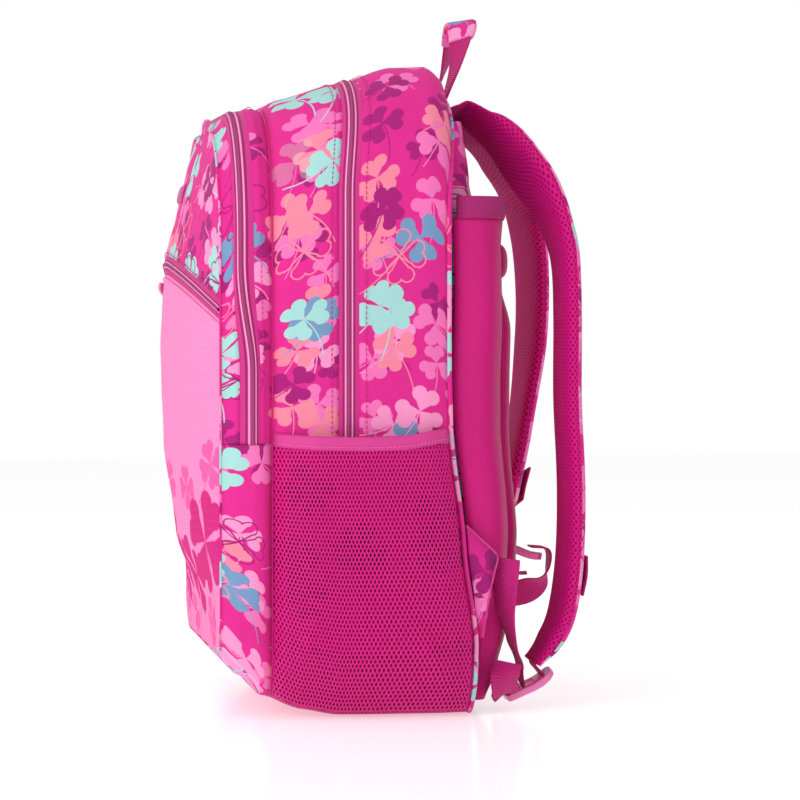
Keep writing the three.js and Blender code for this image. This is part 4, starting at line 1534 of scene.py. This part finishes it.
def slider_place(name):
    """Where a slider sits: x along its zip towards the pull's end, z out of the cloth."""
    if name == "pocket_zip":
        base = pocket_zip_point(POCKET_SLIDER_AT)
        x = (pocket_zip_point(POCKET_SLIDER_AT + 0.02) - base).normalized()
        z = Vector((base.x / 300, -1, 0.2))
    else:
        direction = 1 if name.endswith("left") else -1
        y = MAIN_ZIP_Y if name.startswith("main") else FRONT_ZIP_Y
        s = SLIDERS_MEET - direction * SLIDER_SPACING / 2
        base = shell(s, y, COIL_HEIGHT)
        x = (shell(s - direction, y, COIL_HEIGHT) - base).normalized()
        _, _, nx, nz = outline(s)
        z = Vector((nx, 0, nz))
    z = (z - x * z.dot(x)).normalized()
    place = Matrix((x, z.cross(x), z)).transposed().to_4x4()
    place.translation = base
    return place


def prism(points, place, ends):
    """Adds a plate with the given outline. place(a, b, end) puts an outline point at one end of it."""

    def cells(bm):
        near, far = ([bm.verts.new(place(a, b, end)) for a, b in points] for end in ends)
        bm.faces.new(near[::-1])
        bm.faces.new(far)
        for i in range(len(points)):
            bm.faces.new((near[i - 1], near[i], far[i], far[i - 1]))

    return cells


def slab(points, z0, z1):
    """A plate lying flat on the zip, from z0 to z1."""
    return prism(points, lambda a, b, end: (a, b, end), (z0, z1))


def bar(points, half):
    """A plate standing along the zip, half thick each way."""
    return prism(points, lambda a, c, end: (a, end, c), (-half, half))


def small_part(name, cells, place, node, material):
    bm = bmesh.new()
    for add_cells in cells:
        add_cells(bm)
    bmesh.ops.recalc_face_normals(bm, faces=bm.faces)
    bm.transform(Matrix.Scale(MM, 4) @ place)
    piece = from_mesh(name, from_bmesh(bm, name), material, node, [node])
    round_edges(piece, 0.4, 2, 0.5)


def mirrored(points):
    """An outline from its half with b from 0 up, and the same half with b the other way."""
    return [*points, *[(a, -b) for a, b in reversed(points) if b]]


def zip_slider(name):
    """Two plates joined by a lug, and a forked pull that turns on the pin through the lug."""
    place = slider_place(name)
    plate = mirrored([(-5, 2.3), (-3, 3.4), (3, 3.1), (5, 3.6)])
    lug = [(-4, 3.2), (-3.6, 5.2), (-1.6, 7.9), (0.2, 8.8), (1.4, 8.5), (2.1, 7.4), (2.3, 3.2)]
    fork = mirrored([(4.2, 1.25), (-1, 1.25), (-1, 2.6), (6, 3.4), (25, 3.4), (29, 2.2), (30, 0)])
    pin = [(PIVOT[0] + a, PIVOT[1] + b) for a, b in cord_round(0.55)]
    body = [slab(plate, 0.5, 1.6), slab(plate, 2.5, 3.6), bar(lug, 0.95)]
    pull = [slab(fork, PULL_LIFT, PULL_LIFT + 1.8), bar(pin, 2)]
    small_part(f"{name}_slider_body", body, place, f"{name}_slider", METAL)
    small_part(f"{name}_pull_tab", pull, place, f"{name}_pull", PULL)


def cad_finishes():
    """Materials for the frame parts that stay visible."""
    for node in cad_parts.values():
        if not node.hide_render:
            node.data.materials.clear()
            node.data.materials.append(LINING)


# ---- stage and camera ---------------------------------------------------------------------
FLOOR_GLOW = 0.43  # the floor reads as white as the background behind it
ROOM_LIGHT = 0.54
# Area lights, in metres: name, place, size, power in watts.
SOFTBOXES = [
    ("key", (1.7, -1.3, 1.1), 1.4, 19.5),
    ("top", (0.3, -0.2, 2.2), 1.8, 11),
    ("rear_fill", (0.6, 1.9, 0.9), 1.2, 3),
    ("front_fill", (0.9, -2.0, 0.8), 1.2, 8),
    ("far_fill", (-1.8, -0.4, 1.0), 1.4, 3.5),
]
CAMERA_AZIMUTH = math.radians(82)
CAMERA_ELEVATION = math.radians(1.5)
CAMERA_DISTANCE = 2.6
CAMERA_TARGET = Vector((0, 0.024, 0.205))
VIEW_WIDTH = 0.556  # how much the picture shows across, at the target
SENSOR = 36


def glossy_floor():
    bpy.ops.mesh.primitive_plane_add(size=8, location=(0, 0, -0.0006))
    floor = bpy.context.object
    floor.name = "floor"
    material, shader = new_material("floor_gloss")
    set_inputs(shader, {
        "Base Color": (0.93, 0.93, 0.93, 1), "Roughness": 0.16, "Specular IOR Level": 0.4,
        "Emission Color": (1, 1, 1, 1), "Emission Strength": FLOOR_GLOW,
    })
    floor.data.materials.append(material)


def white_room():
    """White behind the object, and softer than that as a light on it."""
    world = bpy.data.worlds.new("studio")
    bpy.context.scene.world = world
    world.use_nodes = True
    nodes, links = world.node_tree.nodes, world.node_tree.links
    behind, around = nodes["Background"], nodes.new("ShaderNodeBackground")
    behind.inputs[0].default_value = (1, 1, 1, 1)
    around.inputs[0].default_value = (1, 0.985, 0.99, 1)
    around.inputs[1].default_value = ROOM_LIGHT
    rays, choice = nodes.new("ShaderNodeLightPath"), nodes.new("ShaderNodeMixShader")
    links.new(rays.outputs["Is Camera Ray"], choice.inputs[0])
    links.new(around.outputs[0], choice.inputs[1])
    links.new(behind.outputs[0], choice.inputs[2])
    links.new(choice.outputs[0], nodes["World Output"].inputs[0])


def softbox(name, location, size, power):
    """A square light, turned to the middle of the bag."""
    light = bpy.data.lights.new(name, "AREA")
    light.shape = "RECTANGLE"
    light.size = light.size_y = size
    light.energy = power
    lamp = bpy.data.objects.new(name, light)
    lamp.location = location
    direction = Vector((0, 0, 0.2)) - Vector(location)
    lamp.rotation_euler = direction.to_track_quat("-Z", "Y").to_euler()
    bpy.context.collection.objects.link(lamp)


def camera():
    """At azimuth 0 it would look straight at the front, and at 90 straight at the left side."""
    flat = math.cos(CAMERA_ELEVATION)
    back = Vector((
        math.sin(CAMERA_AZIMUTH) * flat, -math.cos(CAMERA_AZIMUTH) * flat, math.sin(CAMERA_ELEVATION),
    ))
    data = bpy.data.cameras.new("camera")
    data.sensor_width = SENSOR
    data.lens = SENSOR * CAMERA_DISTANCE / VIEW_WIDTH
    data.clip_end = 20
    eye = bpy.data.objects.new("camera", data)
    eye.location = CAMERA_TARGET + back * CAMERA_DISTANCE
    eye.rotation_euler = (-back).to_track_quat("-Z", "Y").to_euler()
    bpy.context.collection.objects.link(eye)
    bpy.context.scene.camera = eye


bpy.context.scene.view_settings.view_transform = "Standard"
bag_walls()
front_faces()
piping_and_stitches()
back()
for side, tag in ((1, "left"), (-1, "right")):
    pocket_net(side, tag)
    pocket_hem(side, tag)
    shoulder_strap(tag)
    anchor_wing(side, tag)
ladder_lock("left", BUCKLE)
# The right lock's darker plastic is painted shade.
ladder_lock("right", BUCKLE_SHADED)
webbings()
haul_loop()
for name in ("main_zip_left", "main_zip_right", "front_zip_left", "front_zip_right", "pocket_zip"):
    zip_slider(name)
cad_finishes()
glossy_floor()
white_room()
for box in SOFTBOXES:
    softbox(*box)
camera()
